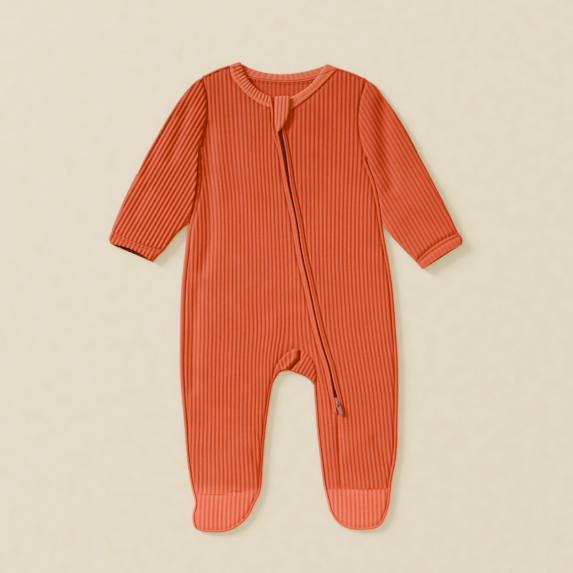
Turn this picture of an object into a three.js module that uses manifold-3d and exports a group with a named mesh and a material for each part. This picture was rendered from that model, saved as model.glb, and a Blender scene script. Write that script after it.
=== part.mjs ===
// A footed baby sleepsuit of ribbed cotton, size 0 to 3 months, laid flat on its back.
// Millimetres, +X to the wearer's left, +Y towards the neck, +Z up, the floor at z = 0.
import * as THREE from 'three';
import { mergeVertices } from 'three/addons/utils/BufferGeometryUtils.js';
import Module from 'manifold-3d';

const wasm = await Module();
wasm.setup();

// Driving dimensions of the cloth
const WALL = 1.5;
const RIB_HEIGHT = 0.8;
const RIB_PITCH = 4.8;
const GAP = 0.3;
const EDGE_HEIGHT = 4.8;
const EDGE_RADIUS = EDGE_HEIGHT / 2;
const FRONT_INSIDE = 3.0;
const FILL = 1.0;
const FILL_REACH = 10;
const ZIP_RIDGE = 0.35;
const ZIP_RIDGE_REACH = 12;
const ZIP_RIDGE_END = -145;
const SEAM_RISE = 0.1;
const PLATE_INSET = EDGE_RADIUS + 0.8;
const PLATE_LAP = 0.8;

// Reach of the cutting shapes, and the step that meshes are simplified to
const HIGH = 30;
const DEEP = -12;
const WIDE = 160;
const LONG = 300;
const CUT_MARGIN = 2;
const SMOOTHING = 0.05;

// Driving dimensions of the trims
const BAND = {
  wall: 2.2, rib: 0.6, ribs: 15, backSteps: 10, foldRadius: 1.55, tuck: 0.02, roll: 0.92, rollHalf: 0.3,
};
const BAND_FOLD_ANGLES = [60, 20, -20, -60];
const WELT = {
  slit: 0.9, wideSlit: 2.6, sliderSlit: 4.3, width: 6.4, overlap: 1.2, thick: 2.7, chamfer: 0.7,
};
const TAPE = { half: 10.5, bottom: 1.85, top: 2.75, coil: 1.5, coilSlope: 0.3, coilTop: 3.7, firstStep: 3 };
const SLIDER = { turn: 20, pivotX: 62, pivotY: -127, pivotZ: 7.95, bottom: 4.2, top: 6.4 };
const ARCH = { halfWidth: 0.6, reach: 3.2, wall: 1.1, play: 0.4, top: 0.9, root: 0.3 };
const PULL = {
  length: 14, width: 5, thick: 1.0, windowWidth: 2.1, windowEnd: 4.3, bar: 1.0,
  shoulder: 0.3, straight: 3, corner: 1.4,
};
const CUFF = { wall: 2.0, height: 6.4 };
const SLEEVE = { ribs: 15, fill: 0.6, fillReach: 9 };
const GUSSET = { ribs: 11, shortest: EDGE_RADIUS + 0.3, fullRibs: 12 };
const MITTEN = { thick: 1.4, lift: 1.75, outside: 1.3, inside: 3.0, below: 3.0 };

// A rib across its pitch: a groove and a flat top
const RIB_PROFILE = [
  { at: 0, up: 0 },
  { at: 0.26, up: 1 },
  { at: 0.76, up: 1 },
];

// The turns of a folded edge, from its top to its underside
const FOLD_TURNS = [90, 45, 0, -45, -90].map((angle) => THREE.MathUtils.degToRad(angle));

// The edges of the laid garment, with the distance from each edge in to its seam
const RIGHT_EDGE = [
  { x: -104.4, y: 172.8, seam: 4.6 },
  { x: -105.4, y: 160, seam: 5 },
  { x: -106.2, y: 138, seam: 5 },
  { x: -111.4, y: 104.4, seam: 5 },
  { x: -117, y: 82.8, seam: 5 },
  { x: -120.8, y: 54, seam: 5.4 },
  { x: -125.4, y: 8.4, seam: 5.6 },
  { x: -126.8, y: -44, seam: 5.6 },
  { x: -126.6, y: -93.6, seam: 5 },
  { x: -121.8, y: -152.4, seam: 4 },
  { x: -118.2, y: -195.6, seam: 3 },
  { x: -112.4, y: -231.6, seam: 2.7 },
  { x: -109, y: -246, seam: 2.7 },
  { x: -112.2, y: -262, seam: 2.7 },
  { x: -108.6, y: -277.2, seam: 2.7 },
  { x: -90, y: -281.9, seam: 2.7 },
  { x: -66, y: -279.5, seam: 2.7 },
  { x: -47, y: -266, seam: 2.7 },
  { x: -35.4, y: -245, seam: 2.7 },
  { x: -29.6, y: -231.6, seam: 2.7 },
  { x: -27.4, y: -205, seam: 2.7 },
  { x: -24.4, y: -166.8, seam: 2.7 },
  { x: -19.6, y: -129, seam: 2.7 },
  { x: -14, y: -101, seam: 2.7 },
];
const LEFT_EDGE = [
  { x: 97, y: 164.4, seam: 4.6 },
  { x: 101.8, y: 152, seam: 4.6 },
  { x: 107.2, y: 138, seam: 4.6 },
  { x: 112.8, y: 112, seam: 4.4 },
  { x: 116.4, y: 84, seam: 4 },
  { x: 121.8, y: 54, seam: 4 },
  { x: 128, y: 14, seam: 4 },
  { x: 132.4, y: -39.6, seam: 4 },
  { x: 135, y: -84, seam: 4 },
  { x: 134.6, y: -140, seam: 4 },
  { x: 133, y: -190, seam: 4 },
  { x: 127.2, y: -222, seam: 3.4 },
  { x: 125.8, y: -238, seam: 2.7 },
  { x: 121.8, y: -258, seam: 2.7 },
  { x: 112, y: -275, seam: 2.7 },
  { x: 91, y: -279, seam: 2.7 },
  { x: 67.4, y: -274.6, seam: 2.7 },
  { x: 54.4, y: -260, seam: 2.7 },
  { x: 48.4, y: -240, seam: 2.7 },
  { x: 45.6, y: -228, seam: 2.7 },
  { x: 41.4, y: -195.6, seam: 2.7 },
  { x: 37.4, y: -160, seam: 2.7 },
  { x: 34.4, y: -126, seam: 2.7 },
  { x: 33.4, y: -109, seam: 2.7 },
];
const SHOULDERS = {
  right: [
    { x: -70.6, y: 277.2, seam: 2.7 },
    { x: -82, y: 273, seam: 2.7 },
    { x: -97.6, y: 265.6, seam: 2.7 },
  ],
  left: [
    { x: 94.6, y: 262.4, seam: 2.7 },
    { x: 82, y: 268, seam: 2.7 },
    { x: 65.6, y: 273.6, seam: 2.7 },
  ],
};

// The crotch gusset: its arched seam and the fold at its lower edge
const GUSSET_ARCH = [
  { x: -15.4, y: -97 },
  { x: -12.4, y: -84.6 },
  { x: -6.6, y: -75 },
  { x: 2, y: -66.4 },
  { x: 13, y: -61.4 },
  { x: 24, y: -66 },
  { x: 33, y: -76.4 },
  { x: 36.6, y: -90 },
  { x: 36.8, y: -105 },
];
const GUSSET_FOLD = [
  { x: -11.6, y: -97.6 },
  { x: -7.2, y: -91 },
  { x: 3, y: -88.4 },
  { x: 15, y: -92 },
  { x: 26.4, y: -97.4 },
  { x: 33.4, y: -105.6 },
];

// The neckline: the seam of the band and its free edge, on the front and on the back
const NECK = {
  frontRightSeam: [
    { x: -66.6, y: 275.6 },
    { x: -64.6, y: 264 },
    { x: -55.8, y: 252.2 },
    { x: -41.9, y: 238.4 },
    { x: -27.2, y: 229.2 },
    { x: -15, y: 225 },
  ],
  frontRightFree: [
    { x: -52.9, y: 279.8 },
    { x: -49.6, y: 269.6 },
    { x: -41.9, y: 256.8 },
    { x: -30.8, y: 246.4 },
    { x: -22, y: 241.6 },
    { x: -14, y: 239.2 },
  ],
  frontLeftFree: [
    { x: -7, y: 238.4 },
    { x: 6.6, y: 239.4 },
    { x: 20.5, y: 246.7 },
    { x: 31.6, y: 256 },
    { x: 40, y: 266.4 },
    { x: 47.2, y: 277.2 },
  ],
  frontLeftSeam: [
    { x: -6, y: 223.8 },
    { x: 8, y: 225.2 },
    { x: 22.2, y: 234.6 },
    { x: 36.1, y: 246 },
    { x: 49.8, y: 259.6 },
    { x: 61.8, y: 272.4 },
  ],
  backFree: [
    { x: -54.2, y: 280 },
    { x: -40, y: 273.6 },
    { x: -25, y: 269.4 },
    { x: -4, y: 267.4 },
    { x: 20, y: 270 },
    { x: 36, y: 274 },
    { x: 48.4, y: 278 },
  ],
  backSeam: [
    { x: -67.4, y: 274.8 },
    { x: -50, y: 264 },
    { x: -30, y: 259.8 },
    { x: -4, y: 257.4 },
    { x: 24, y: 259 },
    { x: 42, y: 263.6 },
    { x: 62.4, y: 272 },
  ],
};

// The zip line from the neck to the end stitch, then the leg seam to the ankle
const ZIP_LINE = [
  { x: -11, y: 230 },
  { x: -10, y: 213 },
  { x: -6.6, y: 198 },
  { x: -2, y: 176 },
  { x: 5, y: 132 },
  { x: 12.8, y: 94.8 },
  { x: 20, y: 50.4 },
  { x: 27.8, y: 15.6 },
  { x: 38.8, y: -36 },
  { x: 45.8, y: -62 },
  { x: 52.6, y: -84 },
  { x: 58, y: -110 },
  { x: 62, y: -127 },
  { x: 63.6, y: -138.6 },
];
const LEG_SEAM = [
  { x: 62.6, y: -138.6 },
  { x: 63.4, y: -184 },
  { x: 67, y: -236 },
];
const SLITS = [
  { y: 230, half: WELT.slit },
  { y: 200, half: WELT.wideSlit },
  { y: 166, half: 2.2 },
  { y: 140, half: 1.2 },
  { y: 90, half: WELT.slit },
  { y: -100, half: WELT.slit },
  { y: -112, half: WELT.sliderSlit },
  { y: -138.6, half: WELT.sliderSlit },
];

// The ankle seams and the armholes
const ANKLE_RIGHT = [
  { x: -150, y: -234 },
  { x: -107, y: -234.4 },
  { x: -87, y: -236 },
  { x: -67, y: -234.2 },
  { x: -46.8, y: -231.2 },
  { x: 5, y: -230.6 },
];
const ANKLE_LEFT = [
  { x: 5, y: -230.6 },
  { x: 50, y: -230.4 },
  { x: 87, y: -229.8 },
  { x: 150, y: -228.4 },
];

// How far a rib leans sideways from where it crosses the waist, for ribs that cross it at these places
const GRAIN_PLACES = [-140, -100, -65, -37, -2, 18, 62, 94, 145];
const GRAIN = [
  { y: 292, lean: [-18, -16, -14, -10, -8, -5, 1, 5, 5] },
  { y: 250, lean: [-14, -12, -12, -9, -8, -5, 0.5, 3, 3] },
  { y: 212, lean: [-11, -10, -10, -7, -7, -5, 0, 2, 2] },
  { y: 164, lean: [-6, -6, -6, -5, -7, -5, -1, 1, 1] },
  { y: 116, lean: [0, 0, -1, -2, -4, -3.5, -2, -2, -2] },
  { y: 78, lean: [2, 2, 0, -1, -2.5, -2.5, -2.5, -2.5, -2.5] },
  { y: 40, lean: [1, 1, 0, 0, -1, -1, -2.5, -2.5, -2.5] },
  { y: -4, lean: [0, 0, 0, 0, 0, 0, 0, 0, 0] },
  { y: -40, lean: [0, 0, 0, 1, 0, 1, 2.5, 3.5, 3.5] },
  { y: -76, lean: [-1, -1, -1, -1, -5, 6, 8, 8.5, 8.5] },
  { y: -112, lean: [-1, -1, -2, -1, -5, 14, 14, 14, 14] },
  { y: -148, lean: [-1, -1, -2, -2, -5, 18, 17.5, 17.5, 17.5] },
  { y: -184, lean: [-2, -2, -2, -1, -4, 21, 20, 20.5, 20.5] },
  { y: -214, lean: [-2, -2, -1, 1, -2, 24, 23, 24.5, 24.5] },
  { y: -244, lean: [-3, -3, -1, 2, -1, 27, 26, 28, 28] },
];

// The largest soft folds of the fronts: troughs along straight runs
const FOLDS = [
  { x0: -98, y0: 96, x1: -98.2, y1: 49, depth: 0.6, width: 6 },
  { x0: -104, y0: 34, x1: -111, y1: -34, depth: 0.6, width: 6 },
  { x0: 107.4, y0: -183, x1: 123, y1: -203, depth: 0.7, width: 7 },
  { x0: 76, y0: -146, x1: 82, y1: -186, depth: 0.5, width: 6 },
  { x0: -38, y0: -190, x1: -31, y1: -204, depth: 0.6, width: 5 },
];

// Feet: where the ribs of each upper run
const FEET = {
  right: { node: 'foot_right', sole: 'sole_right', x0: -118, x1: -22, slant: 0.1 },
  left: { node: 'foot_left', sole: 'sole_left', x0: 40, x1: 134, slant: -0.06 },
};
const FOOT_PITCH = 5.2;
const FOOT_ROWS = [-226, -240, -256, -270, -288];

// Sleeves: a row for each section, from the armhole to the cuff seam.
// a is on the outer edge and b on the inner edge; bow bends the section, towards the neck if above zero.
const SLEEVE_RIGHT = [
  { ax: -100, ay: 263.4, bx: -105, by: 173.8, bow: 8.5, lift: 0, high: 4.8 },
  { ax: -109.8, ay: 256.8, bx: -106.2, by: 158, bow: 6.5, lift: 0, high: 5.1 },
  { ax: -125.4, ay: 238.8, bx: -107, by: 138, bow: 4, lift: 0, high: 5.3 },
  { ax: -139.8, ay: 217.2, bx: -109.6, by: 118, bow: 2, lift: 0, high: 5.4 },
  { ax: -156.6, ay: 188.4, bx: -113.6, by: 101, bow: 0, lift: 0, high: 5.4 },
  { ax: -167.4, ay: 169.2, bx: -117, by: 90, bow: 0, lift: 0, high: 5.4 },
  { ax: -178, ay: 147, bx: -122.4, by: 82.6, bow: 0, lift: MITTEN.lift, high: 6.3 },
  { ax: -194, ay: 113.6, bx: -132.4, by: 72.6, bow: -1, lift: MITTEN.lift, high: 6.3 },
  { ax: -208, ay: 79, bx: -144.8, by: 56, bow: -3, lift: MITTEN.lift, high: 6.4 },
];
const SLEEVE_LEFT = [
  { ax: 97.8, ay: 260, bx: 97.4, by: 165, bow: 10.5, lift: 0, high: 4.8 },
  { ax: 107.4, ay: 253.2, bx: 102.8, by: 152, bow: 8, lift: 0, high: 5.1 },
  { ax: 118.2, ay: 238.8, bx: 107.9, by: 138, bow: 5, lift: 0, high: 5.3 },
  { ax: 133.8, ay: 217.2, bx: 111.2, by: 124, bow: 2, lift: 0, high: 5.4 },
  { ax: 150.6, ay: 188.4, bx: 114.6, by: 107, bow: 0, lift: 0, high: 5.4 },
  { ax: 160.2, ay: 169.2, bx: 117.2, by: 90, bow: 0, lift: 0, high: 5.4 },
  { ax: 174, ay: 143, bx: 124.4, by: 75.4, bow: 0, lift: MITTEN.lift, high: 6.3 },
  { ax: 190, ay: 112, bx: 138, by: 60, bow: 1, lift: MITTEN.lift, high: 6.3 },
  { ax: 206.2, ay: 77.4, bx: 155.4, by: 42.2, bow: 4, lift: MITTEN.lift, high: 6.4 },
];
const CUFF_RIGHT = [
  { ax: -208.6, ay: 78.4, bx: -145.6, by: 55.2, bow: -3, lift: 0, high: CUFF.height },
  { ax: -211.8, ay: 70, bx: -151.6, by: 49.6, bow: -1.5, lift: 0, high: CUFF.height },
  { ax: -209.6, ay: 63.4, bx: -159, by: 41.6, bow: 0, lift: 0, high: CUFF.height },
];
const CUFF_LEFT = [
  { ax: 206.6, ay: 76.6, bx: 156, by: 41.4, bow: 4, lift: 0, high: CUFF.height },
  { ax: 211.6, ay: 70, bx: 160, by: 37, bow: 2, lift: 0, high: CUFF.height },
  { ax: 211.8, ay: 63.4, bx: 164, by: 32.6, bow: 0, lift: 0, high: CUFF.height },
];
const CUFF_OPENING = { right: 4.4, left: 1.6 };

// The leaf-shaped tab over the zip top
const COVER = [
  { x: -13.4, y: 239.4 },
  { x: 4.6, y: 240.2 },
  { x: 5.4, y: 229.2 },
  { x: 0.4, y: 210 },
  { x: -9.6, y: 197.2 },
  { x: -12.6, y: 207.2 },
];
const COVER_SHAPE = {
  bottom: 7.5, fall: 0.2, wall: 1.5, rib: 0.5, pitch: 4.4, halfWidth: 9.5, middle: -5, reach: 15.4,
  top: 244, tip: 194,
};

// The slider's plate, around its pivot
const SLIDER_PLATE = [
  { x: -2.4, y: -3.6 },
  { x: 2.4, y: -3.6 },
  { x: 3.1, y: 1 },
  { x: 3.4, y: 5.6 },
  { x: 1.6, y: 7.6 },
  { x: -1.6, y: 7.6 },
  { x: -3.4, y: 5.6 },
  { x: -3.1, y: 1 },
];

const COLOURS = {
  cloth: '#cf5a3d',
  trim: '#d3603f',
  zip: '#7d2418',
  slider: '#b45548',
};

const V2 = (x, y) => new THREE.Vector2(x, y);
const V3 = (x, y, z) => new THREE.Vector3(x, y, z);

// Points at even steps along a smooth curve through the rows; z carries the distance to the seam
function smooth(rows, steps) {
  const points = rows.map((row) => V3(row.x, row.y, row.seam ?? 0));
  return new THREE.CatmullRomCurve3(points, false, 'centripetal').getSpacedPoints(steps);
}

// The unit vector square to a run of points, to the left of its direction
function sideways(points, index) {
  const before = points[Math.max(index - 1, 0)];
  const after = points[Math.min(index + 1, points.length - 1)];
  return V2(before.y - after.y, after.x - before.x).normalize();
}

// A run of points moved to its left
function beside(points, distance) {
  return points.map((point, index) => {
    const side = sideways(points, index);
    const step = typeof distance === 'function' ? distance(point) : distance;
    return V3(point.x + side.x * step, point.y + side.y * step, point.z);
  });
}

// The value of a column at y, straight between the rows of a table that falls in y
function columnAt(rows, column, y) {
  const next = rows.findIndex((row) => row.y <= y);
  if (next === 0) return rows[0][column];
  if (next < 0) return rows[rows.length - 1][column];
  const [a, b] = [rows[next - 1], rows[next]];
  return THREE.MathUtils.mapLinear(y, a.y, b.y, a[column], b[column]);
}

// A closed mesh as a solid: shared corners are merged and empty triangles dropped
function solid(positions, triangles) {
  const geometry = new THREE.BufferGeometry();
  geometry.setAttribute('position', new THREE.Float32BufferAttribute(positions, 3));
  geometry.setIndex(triangles);
  return fromGeometry(geometry);
}

function fromGeometry(geometry) {
  geometry.deleteAttribute('normal');
  geometry.deleteAttribute('uv');
  const merged = mergeVertices(geometry, 1e-4);
  const index = merged.index.array;
  const kept = [];
  for (let i = 0; i < index.length; i += 3) {
    const [a, b, c] = [index[i], index[i + 1], index[i + 2]];
    if (a !== b && b !== c && c !== a) kept.push(a, b, c);
  }
  return new wasm.Manifold(new wasm.Mesh({
    numProp: 3,
    vertProperties: new Float32Array(merged.attributes.position.array),
    triVerts: new Uint32Array(kept),
  }));
}

// A plan outline raised from one height to another
function prism(points, bottom = DEEP, top = HIGH) {
  const shape = new THREE.Shape(points.map((point) => V2(point.x, point.y)));
  const geometry = new THREE.ExtrudeGeometry(shape, { depth: top - bottom, bevelEnabled: false });
  geometry.translate(0, 0, bottom);
  return fromGeometry(geometry);
}

// A closed loft: each section is a face run and a back run with as many points, joined at their ends
function loft(sections) {
  const count = sections[0].face.length;
  const ring = 2 * count;
  const positions = [];
  for (const section of sections) {
    for (const point of section.face) positions.push(point.x, point.y, point.z);
    for (const point of [...section.back].reverse()) positions.push(point.x, point.y, point.z);
  }
  const triangles = [];
  const quad = (a, b, c, d) => triangles.push(a, b, c, a, c, d);
  for (let s = 0; s + 1 < sections.length; s += 1) {
    for (let i = 0; i < ring; i += 1) {
      const next = (i + 1) % ring;
      quad(s * ring + i, s * ring + next, (s + 1) * ring + next, (s + 1) * ring + i);
    }
  }
  const last = (sections.length - 1) * ring;
  for (let i = 0; i + 1 < count; i += 1) {
    quad(i, ring - 1 - i, ring - 2 - i, i + 1);
    quad(last + i, last + i + 1, last + ring - 2 - i, last + ring - 1 - i);
  }
  const made = solid(positions, triangles);
  if (made.volume() > 0) return made;
  for (let i = 0; i < triangles.length; i += 3) {
    [triangles[i], triangles[i + 1]] = [triangles[i + 1], triangles[i]];
  }
  return solid(positions, triangles);
}

// The solid between a grid of surface points and a flat floor far below it
function under(grid, floor) {
  return loft(grid.map((row) => ({
    face: row,
    back: row.map((point) => V3(point.x, point.y, floor)),
  })));
}

// The least distance in plan from a place to a run of points, and to one step of it
function distanceToRun(points, x, y) {
  let nearest = Infinity;
  for (let i = 0; i + 1 < points.length; i += 1) {
    nearest = Math.min(nearest, distanceToStep(points[i], points[i + 1], x, y));
  }
  return nearest;
}

function distanceToStep(a, b, x, y) {
  const run = V2(b.x - a.x, b.y - a.y);
  const along = THREE.MathUtils.clamp(V2(x - a.x, y - a.y).dot(run) / run.lengthSq(), 0, 1);
  return Math.hypot(x - a.x - run.x * along, y - a.y - run.y * along);
}

// The smooth runs that the pieces share
const rightEdge = smooth(RIGHT_EDGE, 56);
const leftEdge = smooth(LEFT_EDGE, 56).reverse();
const gussetArch = smooth(GUSSET_ARCH, GUSSET.ribs * RIB_PROFILE.length);
const gussetFold = smooth(GUSSET_FOLD, GUSSET.ribs * RIB_PROFILE.length);
const zipLine = smooth(ZIP_LINE, 38);
const legSeam = smooth(LEG_SEAM, 4);
const shoulderRight = smooth(SHOULDERS.right, 3);
const shoulderLeft = smooth(SHOULDERS.left, 3);
const bandSteps = BAND.ribs * RIB_PROFILE.length;
const frontRightSeam = smooth(NECK.frontRightSeam, bandSteps);
const frontLeftSeam = smooth(NECK.frontLeftSeam, bandSteps);
const backSeam = smooth(NECK.backSeam, BAND.backSteps);
const edges = [rightEdge, leftEdge, gussetFold, shoulderRight, shoulderLeft];

// How high the inner face of the front lies over the floor
function frontInside(x, y) {
  const edge = Math.min(...edges.map((run) => distanceToRun(run, x, y)));
  const zipX = columnAt(ZIP_LINE, 'x', y);
  const ridge = y > ZIP_RIDGE_END ? Math.exp(-(((x - zipX) / ZIP_RIDGE_REACH) ** 2)) : 0;
  const folds = FOLDS.reduce((sum, fold) => {
    const away = distanceToStep({ x: fold.x0, y: fold.y0 }, { x: fold.x1, y: fold.y1 }, x, y);
    return sum + fold.depth * Math.exp(-((away / fold.width) ** 2));
  }, 0);
  return FRONT_INSIDE + FILL * (1 - Math.exp(-edge / FILL_REACH)) + ZIP_RIDGE * ridge - folds;
}

// The lean of the rib that crosses the waist at u, in one row of the grain table
function leanAt(row, u) {
  const next = Math.max(1, GRAIN_PLACES.findIndex((place) => place >= u));
  const [a, b] = [GRAIN_PLACES[next - 1], GRAIN_PLACES[next]];
  return THREE.MathUtils.mapLinear(u, a, b, row.lean[next - 1], row.lean[next]);
}

// Ribbed cloth between its inner and outer faces, before a pattern piece is cut from it.
// rows give y and the place of a rib; u counts across the ribs.
function ribbedCloth(u0, u1, pitch, rows, place) {
  const columns = [];
  for (let u = Math.ceil(u0 / pitch) * pitch; u < u1; u += pitch) {
    for (const step of RIB_PROFILE) columns.push({ u: u + step.at * pitch, up: step.up });
  }
  const outer = rows.map((row) => columns.map((column) => {
    const x = place(column.u, row);
    return V3(x, row.y, frontInside(x, row.y) + WALL + RIB_HEIGHT * column.up);
  }));
  const plain = columns.filter((column, index) => index % RIB_PROFILE.length === 0);
  plain[0] = { u: u0 - 2 * pitch };
  plain[plain.length - 1] = { u: u1 + 2 * pitch };
  const ends = [
    { ...rows[0], y: rows[0].y + 1 },
    ...rows.slice(1, -1),
    { ...rows[rows.length - 1], y: rows[rows.length - 1].y - 1 },
  ];
  const inner = ends.map((row) => plain.map((column) => {
    const x = place(column.u, row);
    return V3(x, row.y, frontInside(x, row.y));
  }));
  return under(outer, DEEP / 2).subtract(under(inner, DEEP));
}

// A place on a section row of a sleeve: straight from a to b, bent by its bow
function sectionPoint(row, t) {
  const along = V2(row.bx - row.ax, row.by - row.ay);
  const upwards = row.ax < 0 ? 1 : -1;
  const side = V2(-along.y, along.x).setLength(upwards * 4 * t * (1 - t) * row.bow);
  return V3(row.ax + along.x * t + side.x, row.ay + along.y * t + side.y, 0);
}

function sectionRun(row, steps, from = 0, to = 1) {
  const places = Array.from({ length: steps + 1 }, (unused, i) => i / steps);
  return places.map((t) => sectionPoint(row, THREE.MathUtils.lerp(from, to, t)));
}

// Plan regions that the pattern pieces are cut with
function bodyRegion(inset, armholeInset = 0) {
  return [
    ...beside(shoulderRight, inset),
    ...beside(sectionRun(SLEEVE_RIGHT[0], 24), armholeInset),
    ...beside(rightEdge, inset),
    ...beside(leftEdge, inset),
    ...beside(sectionRun(SLEEVE_LEFT[0], 24), -armholeInset).reverse(),
    ...beside(shoulderLeft, inset),
  ];
}

// The strip of the back that is turned over an edge, with the seam gap round it
function turnedStrip(run) {
  const ends = [run[0].clone(), run[run.length - 1].clone()];
  ends[0].addScaledVector(run[0].clone().sub(run[1]).normalize(), GAP);
  ends[1].addScaledVector(run[run.length - 1].clone().sub(run[run.length - 2]).normalize(), GAP);
  const longer = [ends[0], ...run.slice(1, -1), ends[1]];
  return [...beside(longer, -CUT_MARGIN), ...beside(longer, (point) => point.z + GAP).reverse()];
}

const gussetRegion = [
  ...beside(gussetArch, GAP),
  { x: 34, y: -125 },
  { x: -13, y: -125 },
];
const neckRegion = [
  ...beside(frontRightSeam, -GAP),
  ...beside(frontLeftSeam, -GAP),
  { x: 63.8, y: 272.6 },
  { x: 66, y: LONG },
  { x: -71, y: LONG },
  { x: -68.6, y: 275.8 },
];
const backNeckRegion = [
  ...beside(backSeam, -GAP),
  { x: 64, y: 272.2 },
  { x: 66, y: LONG },
  { x: -71, y: LONG },
  { x: -69, y: 275.2 },
];
const ankles = [...smooth(ANKLE_RIGHT, 10), ...smooth(ANKLE_LEFT, 8).slice(1)];
const legsRegion = [...ankles, { x: WIDE, y: LONG }, { x: -WIDE, y: LONG }];
const feetRegion = [
  ...ankles.map((point) => ({ x: point.x, y: point.y - GAP })),
  { x: WIDE, y: -LONG },
  { x: -WIDE, y: -LONG },
];

// All that lies to the wearer's right of the zip line and the leg seam, moved sideways by a step
function wearersRightOf(step) {
  const down = [...beside(zipLine, step), ...beside(legSeam, step)];
  return [
    ...down,
    { x: down[down.length - 1].x, y: -LONG },
    { x: -WIDE, y: -LONG },
    { x: -WIDE, y: LONG },
    { x: down[0].x, y: LONG },
  ];
}

const turnedStrips = [rightEdge, leftEdge, shoulderRight, shoulderLeft]
  .map((run) => prism(turnedStrip(run)))
  .reduce((all, one) => all.add(one));

const slitHalf = (point) => columnAt(SLITS, 'half', point.y);

function weltSections(side) {
  const outer = WELT.width + WELT.overlap;
  return zipLine.map((point, index) => {
    const across = sideways(zipLine, index).multiplyScalar(side);
    const slit = slitHalf(point);
    const place = (e, up) => {
      const [x, y] = [point.x + across.x * e, point.y + across.y * e];
      return V3(x, y, frontInside(x, y) + up);
    };
    const top = WELT.thick;
    return {
      face: [
        place(slit, top - WELT.chamfer),
        place(slit + WELT.chamfer, top),
        place(outer - WELT.chamfer, top),
        place(outer, top - WELT.chamfer),
      ],
      back: [place(slit, 0), place(slit + WELT.chamfer, 0), place(outer - WELT.chamfer, 0), place(outer, 0)],
    };
  });
}

// Places round a folded edge at a radius; place takes the distance from the edge and the height
function foldArc(place, radius) {
  return FOLD_TURNS.map((turn) => {
    return place(EDGE_RADIUS - radius * Math.cos(turn), EDGE_RADIUS + radius * Math.sin(turn));
  });
}

// The cloth turned over an edge: from the seam on top, round the fold and on to the flat underside
function turnedEdge(run) {
  const lap = PLATE_INSET + PLATE_LAP;
  const top = EDGE_HEIGHT + SEAM_RISE;
  return loft(run.map((point, index) => {
    const inward = sideways(run, index);
    const place = (e, z) => V3(point.x + inward.x * e, point.y + inward.y * e, z);
    return {
      face: [place(point.z, top), ...foldArc(place, EDGE_RADIUS), place(lap, 0)],
      back: [place(point.z, top - WALL), ...foldArc(place, EDGE_RADIUS - WALL), place(lap, WALL)],
    };
  }));
}

// Both fronts are cut from one ribbed cloth, and each gets its welt beside the zip
function makeFronts() {
  const cloth = ribbedCloth(-WIDE + 26, WIDE - 20, RIB_PITCH, GRAIN, (u, row) => u + leanAt(row, u))
    .intersect(prism(bodyRegion(0)))
    .intersect(prism(legsRegion))
    .subtract(turnedStrips)
    .subtract(prism(gussetRegion))
    .subtract(prism(neckRegion));
  const zipBand = prism([
    ...beside(zipLine, WELT.width),
    ...beside(zipLine, -WELT.width).reverse(),
  ]);
  const plain = cloth.subtract(zipBand);
  const welt = (side) => loft(weltSections(side)).subtract(prism(neckRegion));
  return {
    right: plain.intersect(prism(wearersRightOf(-GAP / 2))).add(welt(-1)),
    left: plain.subtract(prism(wearersRightOf(GAP / 2))).add(welt(1)),
  };
}

// The back lies flat and is turned over its edges; the soles are cut from the same cloth
function makeBack() {
  const plate = prism(bodyRegion(PLATE_INSET), 0, WALL).subtract(prism(gussetRegion));
  const turned = turnedEdge(rightEdge).add(turnedEdge(leftEdge));
  const all = plate.add(turned.subtract(prism(gussetRegion)));
  const shoulders = turnedEdge(shoulderRight).add(turnedEdge(shoulderLeft));
  return {
    back: all.intersect(prism(legsRegion)).add(shoulders).subtract(prism(backNeckRegion)),
    soles: all.intersect(prism(feetRegion)),
  };
}

// The gusset: radial ribs from the arched seam to the fold, and back under it
function makeGusset() {
  return loft(gussetArch.map((from, index) => {
    const to = gussetFold[index];
    const up = RIB_PROFILE[index % RIB_PROFILE.length].up * RIB_HEIGHT;
    const length = Math.hypot(to.x - from.x, to.y - from.y);
    const place = (e, z) => {
      const t = 1 - e / length;
      return V3(from.x + (to.x - from.x) * t, from.y + (to.y - from.y) * t, z);
    };
    const reach = Math.max(length, GUSSET.shortest);
    const middle = (reach + EDGE_RADIUS) / 2;
    const top = EDGE_HEIGHT + up * Math.min(1, length / GUSSET.fullRibs);
    return {
      face: [
        place(reach, top),
        place(middle, top),
        ...foldArc(place, EDGE_RADIUS),
        place(middle, 0),
        place(reach, 0),
      ],
      back: [
        place(reach, EDGE_HEIGHT - WALL),
        place(middle, EDGE_HEIGHT - WALL),
        ...foldArc(place, EDGE_RADIUS - WALL),
        place(middle, WALL),
        place(reach, WALL),
      ],
    };
  }));
}

// The upper of a foot, inside the edge that its sole turns over
function makeFoot(foot) {
  const rows = FOOT_ROWS.map((y) => ({ y }));
  const place = (u, row) => u + foot.slant * (row.y - FOOT_ROWS[0]);
  const edge = foot.x0 < 0 ? rightEdge : leftEdge;
  return ribbedCloth(foot.x0, foot.x1, FOOT_PITCH, rows, place)
    .intersect(prism(edge))
    .intersect(prism(feetRegion))
    .subtract(turnedStrips);
}

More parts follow.
